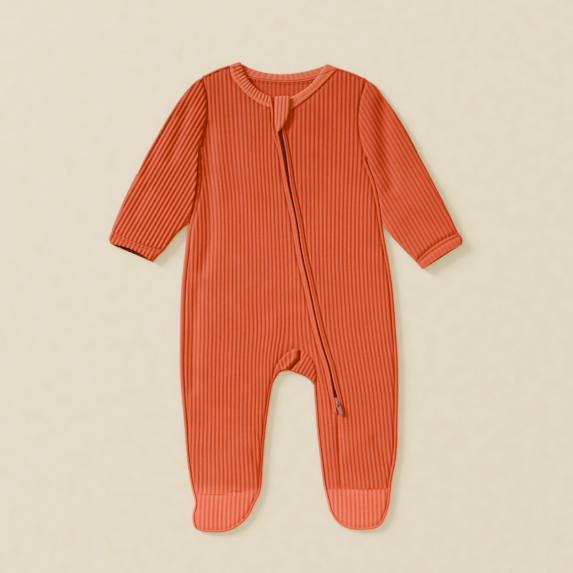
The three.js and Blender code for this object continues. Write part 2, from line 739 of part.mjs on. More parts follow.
// A flat tube through section rows, ribbed above and flat below
function tubeSections(rows, ribs, inset) {
  return rows.map((row) => {
    const width = Math.hypot(row.bx - row.ax, row.by - row.ay);
    const radius = (row.high - row.lift) / 2 - inset;
    const middle = row.lift + inset + radius;
    const stops = [];
    for (const angle of [0, 40, 90]) {
      const turn = THREE.MathUtils.degToRad(angle);
      stops.push({ e: inset + radius * (1 - Math.cos(turn)), z: radius * Math.sin(turn), up: 0 });
    }
    const steps = inset > 0 ? 6 : ribs * RIB_PROFILE.length;
    const span = width - 2 * (inset + radius);
    const inner = [];
    for (let i = 1; i < steps; i += 1) {
      const part = inset > 0 ? i / steps : ribPlace(i, ribs);
      const up = inset > 0 ? 0 : RIB_PROFILE[i % RIB_PROFILE.length].up * RIB_HEIGHT;
      const fill = SLEEVE.fill * (1 - Math.exp(-Math.min(part, 1 - part) * span / SLEEVE.fillReach));
      inner.push({ e: inset + radius + span * part, z: radius + fill, up });
    }
    const all = [...stops, ...inner, ...[...stops].reverse().map((stop) => ({ ...stop, e: width - stop.e }))];
    const put = (stop, z) => {
      const point = sectionPoint(row, stop.e / width);
      return V3(point.x, point.y, middle + z);
    };
    return {
      face: all.map((stop) => put(stop, stop.z + stop.up)),
      back: all.map((stop) => put(stop, -Math.min(stop.z, radius))),
    };
  });
}

// How far across its cloth a point of the rib profile lies, from 0 to 1
function ribPlace(index, ribs) {
  const rib = Math.floor(index / RIB_PROFILE.length);
  return (rib + RIB_PROFILE[index % RIB_PROFILE.length].at) / ribs;
}

// The first and last sections moved out along the tube, so that the hollow runs through both ends
function lengthened(sections, by) {
  const move = (from, to) => {
    const step = (run, other) => run.map((point, i) => {
      const away = point.clone().sub(other[i]);
      away.z = 0;
      return point.clone().add(away.setLength(by));
    });
    return { face: step(from.face, to.face), back: step(from.back, to.back) };
  };
  const count = sections.length;
  return [
    move(sections[0], sections[1]),
    ...sections,
    move(sections[count - 1], sections[count - 2]),
  ];
}

function makeTube(rows, wall) {
  const hollow = lengthened(tubeSections(rows, SLEEVE.ribs, wall), 2 * CUT_MARGIN);
  return loft(tubeSections(rows, SLEEVE.ribs, 0)).subtract(loft(hollow));
}

// A sleeve keeps the seam gap to the body; slivers that the cut frees are dropped
function makeSleeve(rows) {
  const pieces = makeTube(rows, WALL).subtract(prism(bodyRegion(-GAP, -GAP))).decompose();
  return pieces.sort((a, b) => b.volume() - a.volume())[0];
}

// A cuff with its upper layer cut back at the wrist, so that the opening shows
function makeCuff(rows, opening) {
  const end = rows[rows.length - 1];
  const rim = sectionRun({ ...end, bow: opening }, 10);
  const beyond = [...rim].reverse().map((point) => ({ x: point.x, y: point.y - HIGH }));
  return makeTube(rows, CUFF.wall).subtract(prism([...rim, ...beyond], CUFF.height / 2, HIGH));
}

// The fold-over mitten: one flat layer behind the end of the sleeve
function makeMitten(rows) {
  const runs = rows.slice(-3).map((row) => {
    const width = Math.hypot(row.bx - row.ax, row.by - row.ay);
    return sectionRun(row, 6, -MITTEN.outside / width, 1 - MITTEN.inside / width);
  });
  const towards = (run, other, by) => run.map((point, index) => {
    return point.clone().add(other[index].clone().sub(point).setLength(by));
  });
  const [first, middle, last] = runs;
  return prism([
    ...towards(first, middle, MITTEN.below),
    middle[middle.length - 1],
    ...towards(last, middle, GAP).reverse(),
    middle[0],
  ], 0, MITTEN.thick);
}

// The neckband: one strip, ribbed across on the front, folded over at both shoulders to the back
function makeNeckband() {
  const half = BAND.wall / 2;
  const front = (seam, freeRows) => {
    const free = smooth(freeRows, bandSteps);
    return seam.map((a, index) => {
      const b = free[index];
      const z = frontInside(a.x, a.y) + half;
      const up = RIB_PROFILE[index % RIB_PROFILE.length].up * BAND.rib;
      return { a: V3(a.x, a.y, z), b: V3(b.x, b.y, z), out: V3(0, 0, 1), up };
    });
  };
  const right = front(frontRightSeam, NECK.frontRightFree).reverse();
  const left = front(frontLeftSeam, NECK.frontLeftFree).reverse();
  const backFree = smooth(NECK.backFree, BAND.backSteps);
  const back = backSeam.map((a, index) => {
    const b = backFree[index];
    return { a: V3(a.x, a.y, half), b: V3(b.x, b.y, half), out: V3(0, 0, -1), up: 0 };
  });
  const fold = (from, to, outward) => BAND_FOLD_ANGLES.map((angle) => {
    const turn = THREE.MathUtils.degToRad(angle);
    const share = (1 - Math.sin(turn)) / 2;
    const out = V3(outward.x * Math.cos(turn), outward.y * Math.cos(turn), Math.sin(turn));
    const move = (p, q) => {
      const base = V3().lerpVectors(p, q, share);
      base.x += outward.x * BAND.foldRadius * Math.cos(turn);
      base.y += outward.y * BAND.foldRadius * Math.cos(turn);
      return base;
    };
    return { a: move(from.a, to.a), b: move(from.b, to.b), out, up: 0 };
  });
  const [rightTop, leftTop] = [right[right.length - 1], left[0]];
  const stations = [
    ...right,
    ...fold(rightTop, back[0], V2(-0.29, 0.96)),
    ...back,
    ...fold(leftTop, back[back.length - 1], V2(0.31, 0.95)).reverse(),
    ...left,
  ];
  return loft(stations.map(({ a, b, out, up }) => {
    const put = (t, h) => V3().lerpVectors(a, b, t).addScaledVector(out, h);
    const flat = [BAND.tuck, 0.5, BAND.roll];
    return {
      face: [...flat.map((t) => put(t, half + up)), put(1, BAND.rollHalf)],
      back: [...flat.map((t) => put(t, -half)), put(1, -BAND.rollHalf)],
    };
  }));
}

// The zip tape with its coil in the middle, between the fronts and the back
function makeZip() {
  const { half, bottom, top, coil, coilSlope, coilTop } = TAPE;
  const line = zipLine.slice(TAPE.firstStep);
  return loft(line.map((point, index) => {
    const across = sideways(line, index);
    const place = (e, z) => V3(point.x + across.x * e, point.y + across.y * e, z);
    const stops = [-half, -coil - coilSlope, -coil, coil, coil + coilSlope, half];
    return {
      face: stops.map((e) => place(e, Math.abs(e) > coil ? top : coilTop)),
      back: stops.map((e) => place(e, bottom)),
    };
  }));
}

// Slider and pull tab are drawn along +Y from the pivot, then turned to lie along the zip
function onSlider(manifold) {
  return manifold.rotate([0, 0, SLIDER.turn]).translate([SLIDER.pivotX, SLIDER.pivotY, 0]);
}

function box(x0, x1, y0, y1, z0, z1) {
  return prism([{ x: x0, y: y0 }, { x: x1, y: y0 }, { x: x1, y: y1 }, { x: x0, y: y1 }], z0, z1);
}

// The slider: a plate with an arch that the pull tab hangs in
function makeSlider() {
  const { halfWidth, reach, wall } = ARCH;
  const over = SLIDER.pivotZ + PULL.bar / 2 + ARCH.play;
  const plate = prism(SLIDER_PLATE, SLIDER.bottom, SLIDER.top);
  const arch = box(-halfWidth, halfWidth, -reach, reach, SLIDER.top - ARCH.root, over + ARCH.top);
  const eye = box(-2 * halfWidth, 2 * halfWidth, wall - reach, reach - wall, SLIDER.top, over);
  return onSlider(plate.add(arch.subtract(eye)));
}

// The pull tab, with the window that the arch goes through
function makePull() {
  const half = PULL.width / 2;
  const bar = PULL.bar / 2;
  const tip = PULL.length;
  const { shoulder, straight, corner } = PULL;
  const outline = [
    { x: -half + shoulder, y: bar },
    { x: -half, y: -straight },
    { x: -half, y: -tip + straight },
    { x: -half + corner, y: -tip },
    { x: half - corner, y: -tip },
    { x: half, y: -tip + straight },
    { x: half, y: -straight },
    { x: half - shoulder, y: bar },
  ];
  const bottom = SLIDER.pivotZ - PULL.thick / 2;
  const plate = prism(outline, bottom, bottom + PULL.thick);
  const side = PULL.windowWidth / 2;
  return onSlider(plate.subtract(box(-side, side, -PULL.windowEnd, -bar, DEEP, HIGH)));
}

// The leaf-shaped tab that lies over the zip top, a little lower at its sides
function makeCover() {
  const { bottom, fall, wall, rib, pitch, halfWidth, middle, reach, top, tip } = COVER_SHAPE;
  const height = (x) => bottom - fall * ((x - middle) / halfWidth) ** 2;
  const columns = [];
  for (let x = middle - reach; x < middle + reach; x += pitch) {
    for (const step of RIB_PROFILE) columns.push({ x: x + step.at * pitch, up: step.up * rib });
  }
  const outer = [top, tip].map((y) => columns.map((c) => V3(c.x, y, height(c.x) + wall + c.up)));
  const inner = [top + CUT_MARGIN, tip - CUT_MARGIN].map((y) => columns.map((c) => {
    const x = middle + (c.x - middle) * 1.2;
    return V3(x, y, height(x));
  }));
  const outline = [COVER[0], COVER[1], ...smooth(COVER.slice(1), 8).slice(1), COVER[0]].slice(0, -1);
  return under(outer, DEEP / 2).subtract(under(inner, DEEP)).intersect(prism(outline));
}

// The garment
const garment = new THREE.Group();

function addPiece(name, manifold, colour, roughness = 0.9, metalness = 0) {
  const mesh = manifold.asOriginal().simplify(SMOOTHING).getMesh();
  const geometry = new THREE.BufferGeometry();
  geometry.setAttribute('position', new THREE.Float32BufferAttribute(mesh.vertProperties, 3));
  geometry.setIndex([...mesh.triVerts]);
  geometry.computeVertexNormals();
  const material = new THREE.MeshStandardMaterial({ color: colour, roughness, metalness });
  const piece = new THREE.Mesh(geometry, material);
  piece.name = name;
  garment.add(piece);
}

const fronts = makeFronts();
const backCloth = makeBack();
const legsMiddle = ANKLE_LEFT[0].x;
const onWearersRight = prism([
  { x: -WIDE, y: LONG },
  { x: -WIDE, y: -LONG },
  { x: legsMiddle, y: -LONG },
  { x: legsMiddle, y: LONG },
]);

addPiece('back', backCloth.back, COLOURS.cloth);
addPiece('front_right', fronts.right, COLOURS.cloth);
addPiece('front_left', fronts.left, COLOURS.cloth);
addPiece('gusset', makeGusset(), COLOURS.cloth);
addPiece('sleeve_right', makeSleeve(SLEEVE_RIGHT), COLOURS.cloth);
addPiece('sleeve_left', makeSleeve(SLEEVE_LEFT), COLOURS.cloth);
addPiece('cuff_right', makeCuff(CUFF_RIGHT, CUFF_OPENING.right), COLOURS.trim);
addPiece('cuff_left', makeCuff(CUFF_LEFT, CUFF_OPENING.left), COLOURS.trim);
addPiece('mitten_right', makeMitten(SLEEVE_RIGHT), COLOURS.cloth);
addPiece('mitten_left', makeMitten(SLEEVE_LEFT), COLOURS.cloth);
addPiece('neckband', makeNeckband(), COLOURS.trim);
addPiece('zip', makeZip(), COLOURS.zip, 0.5);
addPiece('zip_cover', makeCover(), COLOURS.trim);
addPiece('zip_slider', makeSlider(), COLOURS.slider, 0.4, 0.2);
addPiece('zip_pull', makePull(), COLOURS.slider, 0.4, 0.2);
for (const foot of Object.values(FEET)) addPiece(foot.node, makeFoot(foot), COLOURS.cloth);
addPiece('sole_right', backCloth.soles.intersect(onWearersRight), COLOURS.cloth);
addPiece('sole_left', backCloth.soles.subtract(onWearersRight), COLOURS.cloth);

export default garment;
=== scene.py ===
# %% [markdown]
# # A footed baby sleepsuit in rib knit, laid flat
# The garment lies on its back on a pale floor, seen straight from above. Cloth like this could be draped
# by simulation, but a flat lay has very little drape: what the eye reads is the rib, the seams and a few
# soft folds. So each pattern piece is a fine sheet whose ribs and folds are worked out from sizes, then
# given its thickness and cut along its seams, in the order in which a maker would work.

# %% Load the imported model
import math

import bmesh
import bpy
import numpy as np
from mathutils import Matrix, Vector
from mathutils.bvhtree import BVHTree
from mathutils.kdtree import KDTree


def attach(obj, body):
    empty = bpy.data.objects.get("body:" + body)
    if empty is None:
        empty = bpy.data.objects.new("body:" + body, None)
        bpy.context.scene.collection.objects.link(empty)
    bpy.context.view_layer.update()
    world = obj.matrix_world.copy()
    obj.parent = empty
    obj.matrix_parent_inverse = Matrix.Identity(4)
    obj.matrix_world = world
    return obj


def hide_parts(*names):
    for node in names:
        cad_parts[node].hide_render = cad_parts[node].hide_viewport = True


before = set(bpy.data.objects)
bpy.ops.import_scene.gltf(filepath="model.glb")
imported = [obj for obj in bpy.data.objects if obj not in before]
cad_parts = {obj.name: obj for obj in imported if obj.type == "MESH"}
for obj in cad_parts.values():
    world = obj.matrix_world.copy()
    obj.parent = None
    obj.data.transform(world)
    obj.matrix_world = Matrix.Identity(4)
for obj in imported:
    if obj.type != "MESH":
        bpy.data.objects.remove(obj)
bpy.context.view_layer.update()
BODY = "garment"

# %% [markdown]
# ## Driving sizes
# Everything below is in millimetres until a mesh is written. The rib of this knit is 4.8 mm from groove to
# groove. A grid column every 0.6 mm gives each rib eight columns, enough for a round rib with a crisp groove.

# %% Sizes of the cloth, in millimetres
MM = 0.001
WALL = 1.3
RIB_PITCH = 4.8
RIB_HEIGHT = 0.55
RIB_COLUMNS = 8
ROW_STEP = 4.0
TUCK = 0.7
SEAM_DIP = 0.75
SEAM_REACH = 1.6
SEAM_FLAT = 0.6
FRONT_INSIDE = 3.0
FILL, FILL_REACH = 0.7, 13.0
ZIP_RIDGE, ZIP_RIDGE_REACH, ZIP_RIDGE_END = 0.35, 12.0, -145.0
EDGE_RADIUS, EDGE_HEIGHT = 2.4, 4.8
WELT_WIDTH = 6.4
HIGH, DEEP = 30.0, -12.0
WIDE, LONG = 160.0, 300.0

# %% [markdown]
# ## The outline of the garment
# Each run below is the edge of the laid garment, as x, y and the distance in to its seam. A smooth curve
# goes through the points, so a handful of them gives a long edge.

# %% Edges of the laid garment: x, y, distance to the seam
RIGHT_EDGE = [
    (-104.4, 172.8, 2.6), (-105.4, 160, 3.6), (-106.2, 138, 5), (-111.4, 104.4, 5), (-117, 82.8, 5),
    (-120.8, 54, 5.4), (-125.4, 8.4, 5.6), (-126.8, -44, 5.6), (-126.6, -93.6, 5), (-121.8, -152.4, 4),
    (-118.2, -195.6, 3), (-112.4, -231.6, 2.7), (-109, -246, 2.7), (-112.2, -262, 2.7),
    (-108.6, -277.2, 2.7), (-90, -281.9, 2.7), (-66, -279.5, 2.7), (-47, -266, 2.7), (-35.4, -245, 2.7),
    (-29.6, -231.6, 2.7), (-27.4, -205, 2.7), (-24.4, -166.8, 2.7), (-19.6, -129, 2.7), (-14.4, -102, 2.7),
    (-11.9, -97.7, 2.7),
]
LEFT_EDGE = [
    (97, 164.4, 4.6), (101.8, 152, 4.6), (107.2, 138, 4.6), (112.8, 112, 4.4), (116.4, 84, 4),
    (121.8, 54, 4), (128, 14, 4), (132.4, -39.6, 4), (135, -84, 4), (134.6, -140, 4), (133, -190, 4),
    (127.2, -222, 3.4), (125.8, -238, 2.7), (121.8, -258, 2.7), (112, -275, 2.7), (91, -279, 2.7),
    (67.4, -274.6, 2.7), (54.4, -260, 2.7), (48.4, -240, 2.7), (45.6, -228, 2.7), (41.4, -195.6, 2.7),
    (37.4, -160, 2.7), (34.8, -126, 2.7), (33.2, -104.6, 2.7),
]
SHOULDER_RIGHT = [(-66.8, 278.4, 2.7), (-82, 273, 2.7), (-97.6, 265.6, 2.7)]
SHOULDER_LEFT = [(94.6, 262.4, 2.7), (82, 268, 2.7), (62.0, 275, 2.7)]

# %% The crotch gusset, the neckline, the zip and the ankles: x, y
GUSSET_ARCH = [
    (-15.4, -97), (-12.4, -84.6), (-6.6, -75), (2, -66.4), (13, -61.4), (24, -66), (33, -76.4),
    (36.6, -90), (36.8, -105),
]
GUSSET_FOLD = [(-11.6, -97.6), (-7.2, -91), (3, -88.4), (15, -92), (26.4, -97.4), (33.4, -105.6)]
GUSSET_RIBS = 15
NECK_RIBS = 18
NECK = {
    "right_seam": [
        (-66.6, 275.6), (-64.6, 264), (-55.8, 252.2), (-41.9, 238.4), (-27.2, 229.2), (-11, 224.2),
    ],
    "right_free": [
        (-52.9, 279.8), (-49.6, 269.6), (-41.9, 256.8), (-30.8, 246.4), (-22, 241.4), (-10.5, 238.4),
    ],
    "left_free": [(-7, 238.4), (6.6, 239.4), (20.5, 246.7), (31.6, 256), (40, 266.4), (47.2, 277.2)],
    "left_seam": [(-6, 223.8), (8, 225.2), (22.2, 234.6), (36.1, 246), (49.8, 259.6), (61.8, 272.4)],
    "back_free": [(-54.2, 280), (-40, 273.6), (-25, 269.4), (-4, 267.4), (20, 270), (36, 274), (48.4, 278)],
    "back_seam": [(-67.4, 274.8), (-50, 264), (-30, 259.8), (-4, 257.4), (24, 259), (42, 263.6), (62.4, 272)],
}
ZIP_LINE = [
    (-11, 230), (-10, 213), (-6.6, 198), (-2, 176), (5, 132), (12.8, 94.8), (20, 50.4), (27.8, 15.6),
    (38.8, -36), (45.8, -62), (52.6, -84), (58, -110), (62, -127), (63.6, -138.6),
]
LEG_SEAM = [(62.6, -138.6), (63.4, -184), (67, -236)]
ANKLE_RIGHT = [(-150, -234), (-107, -234.4), (-87, -236), (-67, -234.2), (-46.8, -231.2), (5, -230.6)]
ANKLE_LEFT = [(5, -230.6), (50, -230.4), (87, -229.8), (150, -228.4)]

# %% How the ribs run: the sideways lean of the ribs that cross the waist at these places
GRAIN_PLACES = [-140, -100, -65, -37, -2, 18, 62, 94, 145]
GRAIN = [
    (292, [-18, -16, -14, -10, -8, -5, 1, 5, 5]),
    (250, [-14, -12, -12, -9, -8, -5, 0.5, 3, 3]),
    (212, [-11, -10, -10, -7, -7, -5, 0, 2, 2]),
    (164, [-6, -6, -6, -5, -7, -5, -1, 1, 1]),
    (116, [0, 0, -1, -2, -4, -3.5, -2, -2, -2]),
    (78, [2, 2, 0, -1, -2.5, -2.5, -2.5, -2.5, -2.5]),
    (40, [1, 1, 0, 0, -1, -1, -2.5, -2.5, -2.5]),
    (-4, [0, 0, 0, 0, 0, 0, 0, 0, 0]),
    (-40, [0, 0, 0, 1, 0, 1, 2.5, 3.5, 3.5]),
    (-76, [-1, -1, -1, -1, -5, 6, 8, 8.5, 8.5]),
    (-112, [-1, -1, -2, -1, -5, 14, 14, 14, 14]),
    (-148, [-1, -1, -2, -2, -5, 18, 17.5, 17.5, 17.5]),
    (-184, [-2, -2, -2, -1, -4, 21, 20, 20.5, 20.5]),
    (-214, [-2, -2, -1, 1, -2, 24, 23, 24.5, 24.5]),
    (-244, [-3, -3, -1, 2, -1, 27, 26, 28, 28]),
]

# %% Sleeves and cuffs: the outer end and the inner end of each section, its bow, lift and height
SLEEVE_RIGHT = [
    (-100, 263.4, -105, 173.8, 8.5, 0, 4.8), (-109.8, 256.8, -105.2, 158, 6.5, 0, 5.1),
    (-125.4, 238.8, -105.9, 138, 4, 0, 5.3), (-139.8, 217.2, -108.3, 118, 2, 0, 5.4),
    (-156.6, 188.4, -112.0, 101, 0, 0, 5.4), (-167.4, 169.2, -115.1, 90, 0, 0, 5.4),
    (-178, 147, -122.4, 82.6, 0, 1.75, 6.3), (-194, 113.6, -132.4, 72.6, -1, 1.75, 6.3),
    (-208, 79, -144.8, 56, -3, 1.75, 6.4),
]
SLEEVE_LEFT = [
    (97.8, 260, 97.4, 165, 10.5, 0, 4.8), (107.4, 253.2, 101.9, 152, 8, 0, 5.1),
    (118.2, 238.8, 107, 138, 5, 0, 5.3), (133.8, 217.2, 110, 124, 2, 0, 5.4),
    (150.6, 188.4, 113.3, 107, 0, 0, 5.4), (160.2, 169.2, 115.8, 90, 0, 0, 5.4),
    (174, 143, 124.4, 75.4, 0, 1.75, 6.3), (190, 112, 138, 60, 1, 1.75, 6.3),
    (206.2, 77.4, 155.4, 42.2, 4, 1.75, 6.4),
]
CUFF_RIGHT = [
    (-208.2, 79, -145, 55.9, -3, 0.4, 6.2), (-211.8, 70, -151.6, 49.6, -1.5, 0, 6.4),
    (-209.6, 63.4, -159, 41.6, 0, 0, 6.4),
]
CUFF_LEFT = [
    (206.2, 77.7, 155.2, 42.5, 4, 0.4, 6.2), (211.6, 70, 160, 37, 2, 0, 6.4),
    (211.8, 63.4, 164, 32.6, 0, 0, 6.4),
]
RIGHT_OPENING, LEFT_OPENING = 4.4, 1.6
SECTION_POINTS = 49
SLEEVE_RIBS = 15
FOLD_RIBS = 2

# %% Soft folds: depth, width, and the places that each runs through; a ridge has a depth under zero
FOLDS = [
    (1.9, 8.0, [(-92, 204), (-91, 140), (-91, 66), (-99, 34)]),
    (1.1, 6.0, [(-106, 10), (-110, -40), (-111, -110)]),
    (-0.7, 4.5, [(-107, 160), (-108, 105), (-111, 62)]),
    (0.8, 14.0, [(-66, 215), (-62, 120)]),
    (-0.7, 13.0, [(-10, -30), (-19, -92)]),
    (1.0, 6.0, [(107.4, -171.6), (125.4, -201.6)]),
    (0.8, 5.0, [(62, -159.6), (66.4, -183.6)]),
    (0.7, 3.0, [(-33, -164.4), (-28.2, -171.6)]),
    (0.9, 4.0, [(-38, -189.6), (-29, -205)]),
    (0.6, 2.5, [(-55.8, -235), (-35.4, -236)]),
    (0.7, 2.5, [(101.4, -231.6), (124.2, -237.6)]),
    (0.9, 4.0, [(7.5, 223), (8, 212), (4, 202)]),
    (1.4, 6.0, [(-117, 226), (-130, 186), (-136, 166)]),
    (0.9, 5.0, [(-136, 214), (-155, 178), (-168, 146)]),
    (0.8, 6.0, [(-166, 128), (-180, 100)]),
    (2.0, 9.0, [(117, 234), (118, 192), (122, 160), (127, 132)]),
    (-0.7, 8.0, [(101, 230), (103, 192), (107, 160)]),
]


# %% [markdown]
# ## Curves
# A smooth edge comes from a centripetal Catmull-Rom curve, which passes through every point without
# loops. The curve is walked at even steps, so that what is built along it has even faces.

# %% Smooth runs
def spline_at(points, t):
    """Places on a centripetal Catmull-Rom curve through the points, for t from 0 to 1."""
    last = len(points) - 1
    padded = np.vstack([2 * points[0] - points[1], points, 2 * points[-1] - points[-2]])
    place = np.clip(t, 0, 1) * last
    step = np.minimum(place.astype(int), last - 1)
    w = (place - step)[:, None]
    p0, p1, p2, p3 = (padded[step + k] for k in range(4))
    d0, d1, d2 = (
        np.maximum(np.sum((b - a) ** 2, axis=1, keepdims=True), 1e-9) ** 0.25
        for a, b in ((p0, p1), (p1, p2), (p2, p3))
    )
    start = ((p1 - p0) / d0 - (p2 - p0) / (d0 + d1) + (p2 - p1) / d1) * d1
    end = ((p2 - p1) / d1 - (p3 - p1) / (d1 + d2) + (p3 - p2) / d2) * d1
    return p1 + start * w + (3 * (p2 - p1) - 2 * start - end) * w**2 + (2 * (p1 - p2) + start + end) * w**3


def smooth(rows, steps):
    """Rows of numbers joined by a smooth curve, walked at even steps."""
    points = np.array(rows, float)
    t = np.linspace(0, 1, 201)
    lengths = np.linalg.norm(np.diff(spline_at(points, t), axis=0), axis=1)
    walked = np.concatenate([[0], np.cumsum(lengths)])
    return spline_at(points, np.interp(np.linspace(0, walked[-1], steps + 1), walked, t))


def sideways(run):
    """The unit vectors square to a run, to the left of its direction."""
    before = np.vstack([run[:1], run[:-1]])
    after = np.vstack([run[1:], run[-1:]])
    side = np.stack([before[:, 1] - after[:, 1], after[:, 0] - before[:, 0]], axis=1)
    return side / np.linalg.norm(side, axis=1, keepdims=True)


def beside(run, distance):
    """A run moved to its left by a distance, or by one for each point."""
    moved = run.copy()
    moved[:, :2] += sideways(run) * np.reshape(distance, (-1, 1))
    return moved


def distance_to(runs, x, y):
    """The least distance in plan from each place to any of the runs."""
    nearest = np.full(x.shape, 1e6)
    for run in runs:
        for a, b in zip(run[:-1], run[1:]):
            dx, dy = b[0] - a[0], b[1] - a[1]
            along = np.clip(((x - a[0]) * dx + (y - a[1]) * dy) / max(dx * dx + dy * dy, 1e-9), 0, 1)
            away = (x - a[0] - dx * along) ** 2 + (y - a[1] - dy * along) ** 2
            nearest = np.minimum(nearest, away)
    return np.sqrt(nearest)


def near(runs, x, y, reach):
    """1 on the runs, falling smoothly to 0 a little beyond the reach."""
    return np.exp(-((distance_to(runs, x, y) / reach) ** 2))


# %% The runs that pieces share
right_edge = smooth(RIGHT_EDGE, 168)
left_edge = smooth(LEFT_EDGE, 168)[::-1].copy()
shoulder_right = smooth(SHOULDER_RIGHT, 9)
shoulder_left = smooth(SHOULDER_LEFT, 9)
gusset_arch = smooth(GUSSET_ARCH, GUSSET_RIBS * RIB_COLUMNS)
gusset_fold = smooth(GUSSET_FOLD, GUSSET_RIBS * RIB_COLUMNS)
zip_line = smooth(ZIP_LINE, 190)
leg_seam = smooth(LEG_SEAM, 20)
neck_runs = {name: smooth(rows, NECK_RIBS * RIB_COLUMNS) for name, rows in NECK.items()}
body_edges = [right_edge, left_edge, shoulder_right, shoulder_left]
edge_runs = body_edges + [gusset_fold]
print("zip opening", round(float(np.sum(np.linalg.norm(np.diff(zip_line, axis=0), axis=1)))), "mm long")


def section_places(row, t):
    """Places across a sleeve section, straight from its outer end to its inner end and bent by its bow."""
    ax, ay, bx, by, bow = row[:5]
    along = np.array([bx - ax, by - ay])
    side = np.array([-along[1], along[0]]) / np.hypot(*along) * (bow if ax < 0 else -bow)
    bend = 4 * t * (1 - t)
    return np.stack([ax + along[0] * t + side[0] * bend, ay + along[1] * t + side[1] * bend], axis=-1)


armhole_right = section_places(SLEEVE_RIGHT[0], np.linspace(0, 1, SECTION_POINTS))
armhole_left = section_places(SLEEVE_LEFT[0], np.linspace(0, 1, SECTION_POINTS))


# %% [markdown]
# ## The lie of the front
# The front rests on the back and rises a little between its edges, as two layers of cotton do. One height
# function serves every piece of the front, so that neighbours meet. Seams pull the cloth down in a narrow
# dip, and folds are soft troughs and ridges at listed places.

# %% Height and rib functions
def lean_at(u, y):
    """How far the rib that crosses the waist at u leans sideways at height y."""
    table = np.array([row[1] for row in GRAIN], float)
    heights = np.array([row[0] for row in GRAIN], float)
    dense = spline_at(np.column_stack([heights, table]), np.linspace(0, 1, 300))[::-1]
    columns = np.array([np.interp(y, dense[:, 0], dense[:, k + 1]) for k in range(len(GRAIN_PLACES))])
    places = np.array(GRAIN_PLACES, float)
    right = np.clip(np.searchsorted(places, u), 1, len(places) - 1)
    share = (u - places[right - 1]) / (places[right] - places[right - 1])
    each = np.arange(len(u))
    return columns[right - 1, each] * (1 - share) + columns[right, each] * share


def rib_up(u, pitch=RIB_PITCH):
    """The rib profile: 0 in the groove and 1 on the round top."""
    return np.abs(np.sin(math.pi * u / pitch)) ** 1.5


def folds_at(x, y):
    depth = np.zeros(x.shape)
    for deep, width, places in FOLDS:
        depth += deep * near([np.array(places, float)], x, y, width)
    return depth


def front_inside(x, y):
    """The height of the inner face of the front over the floor."""
    edge = distance_to(edge_runs, x, y)
    zip_x = np.interp(y, [row[1] for row in ZIP_LINE[::-1]], [row[0] for row in ZIP_LINE[::-1]])
    ridge = np.where(y > ZIP_RIDGE_END, np.exp(-(((x - zip_x) / ZIP_RIDGE_REACH) ** 2)), 0)
    wave = 0.25 * np.sin(x / 19 + y / 67) + 0.2 * np.sin(y / 31 - x / 43 + 1.3)
    rise = 1 - np.exp(-edge / FILL_REACH)
    return FRONT_INSIDE + FILL * rise + ZIP_RIDGE * ridge + wave * rise - folds_at(x, y)


# %% [markdown]
# ## From a grid to cut cloth
# A piece starts as a flat bmesh grid. Its points are laid where the cloth lies, Solidify gives the wall, and
# a Boolean with a prism of the pattern's outline cuts it, as scissors would. The cloth's own coordinates,
# across and along the ribs, are then written into a UV map, because a Boolean doesn't keep them, and a
# painted groove shade, high in the grooves, seam ditches and hollows, goes into an attribute that the
# material reads.

# %% Building and cutting cloth
scene_collection = bpy.context.scene.collection


def object_from(bm, name):
    mesh = bpy.data.meshes.new(name)
    bm.to_mesh(mesh)
    bm.free()
    made = bpy.data.objects.new(name, mesh)
    scene_collection.objects.link(made)
    return made


def cloth_grid(name, across, along, lay, wrap=False, thickness=WALL):
    """A sheet laid by lay(a, b), which gives x, y, z, u, v and the painted groove shade for a and b from 0 to
    1.
    """
    bm = bmesh.new()
    bmesh.ops.create_grid(bm, x_segments=across, y_segments=along, size=0.5)
    flat = np.array([vert.co[:2] for vert in bm.verts]) + 0.5
    x, y, z, u, v, groove = lay(flat[:, 0], flat[:, 1])
    places = np.column_stack([x, y, z]) * MM
    for vert, place in zip(bm.verts, places):
        vert.co = place
    if wrap:
        bmesh.ops.remove_doubles(bm, verts=bm.verts, dist=1e-6)
    if thickness == 0:
        bmesh.ops.holes_fill(bm, edges=bm.edges, sides=0)
    if wrap:
        bmesh.ops.recalc_face_normals(bm, faces=bm.faces)
    made = object_from(bm, name)
    if thickness != 0:
        wall = made.modifiers.new("wall", "SOLIDIFY")
        wall.thickness = thickness * MM
        wall.offset = -1
        wall.use_quality_normals = True
        settle(made)
    return made, (places, np.column_stack([u, v]) * MM, groove)


def settle(piece):
    """Applies the live modifiers of a piece."""
    evaluated = piece.evaluated_get(bpy.context.evaluated_depsgraph_get())
    mesh = bpy.data.meshes.new_from_object(evaluated)
    piece.modifiers.clear()
    piece.data = mesh
    return piece


def plan_prism(run, low=DEEP, high=HIGH):
    """A closed prism over a plan outline, used to cut cloth."""
    bm = bmesh.new()
    face = bm.faces.new([bm.verts.new((x * MM, y * MM, low * MM)) for x, y in np.asarray(run)[:, :2]])
    raised = bmesh.ops.extrude_face_region(bm, geom=[face])["geom"]
    top = [item for item in raised if isinstance(item, bmesh.types.BMVert)]
    bmesh.ops.translate(bm, verts=top, vec=(0, 0, (high - low) * MM))
    bmesh.ops.recalc_face_normals(bm, faces=bm.faces)
    return object_from(bm, "cutter")


def cut(piece, cutter, operation):
    """Cuts or joins: INTERSECT keeps what is inside the cutter, DIFFERENCE what is outside, UNION both."""
    scissors = piece.modifiers.new("scissors", "BOOLEAN")
    scissors.operation = operation
    scissors.solver = "MANIFOLD"
    scissors.object = cutter
    settle(piece)
    return piece


def discard(*helpers):
    for helper in helpers:
        bpy.data.objects.remove(helper, do_unlink=True)


def cut_by(piece, keep=(), drop=()):
    """Cuts a piece by plan outlines: what is inside those of keep stays, and inside those of drop it goes."""
    for outlines, operation in ((keep, "INTERSECT"), (drop, "DIFFERENCE")):
        for outline in outlines:
            cutter = plan_prism(outline)
            cut(piece, cutter, operation)
            discard(cutter)
    return piece


def join_cloth(first, others):
    """Joins pieces of one cloth into one closed form."""
    for other in others:
        cut(first, other, "UNION")
    discard(*others)
    return first


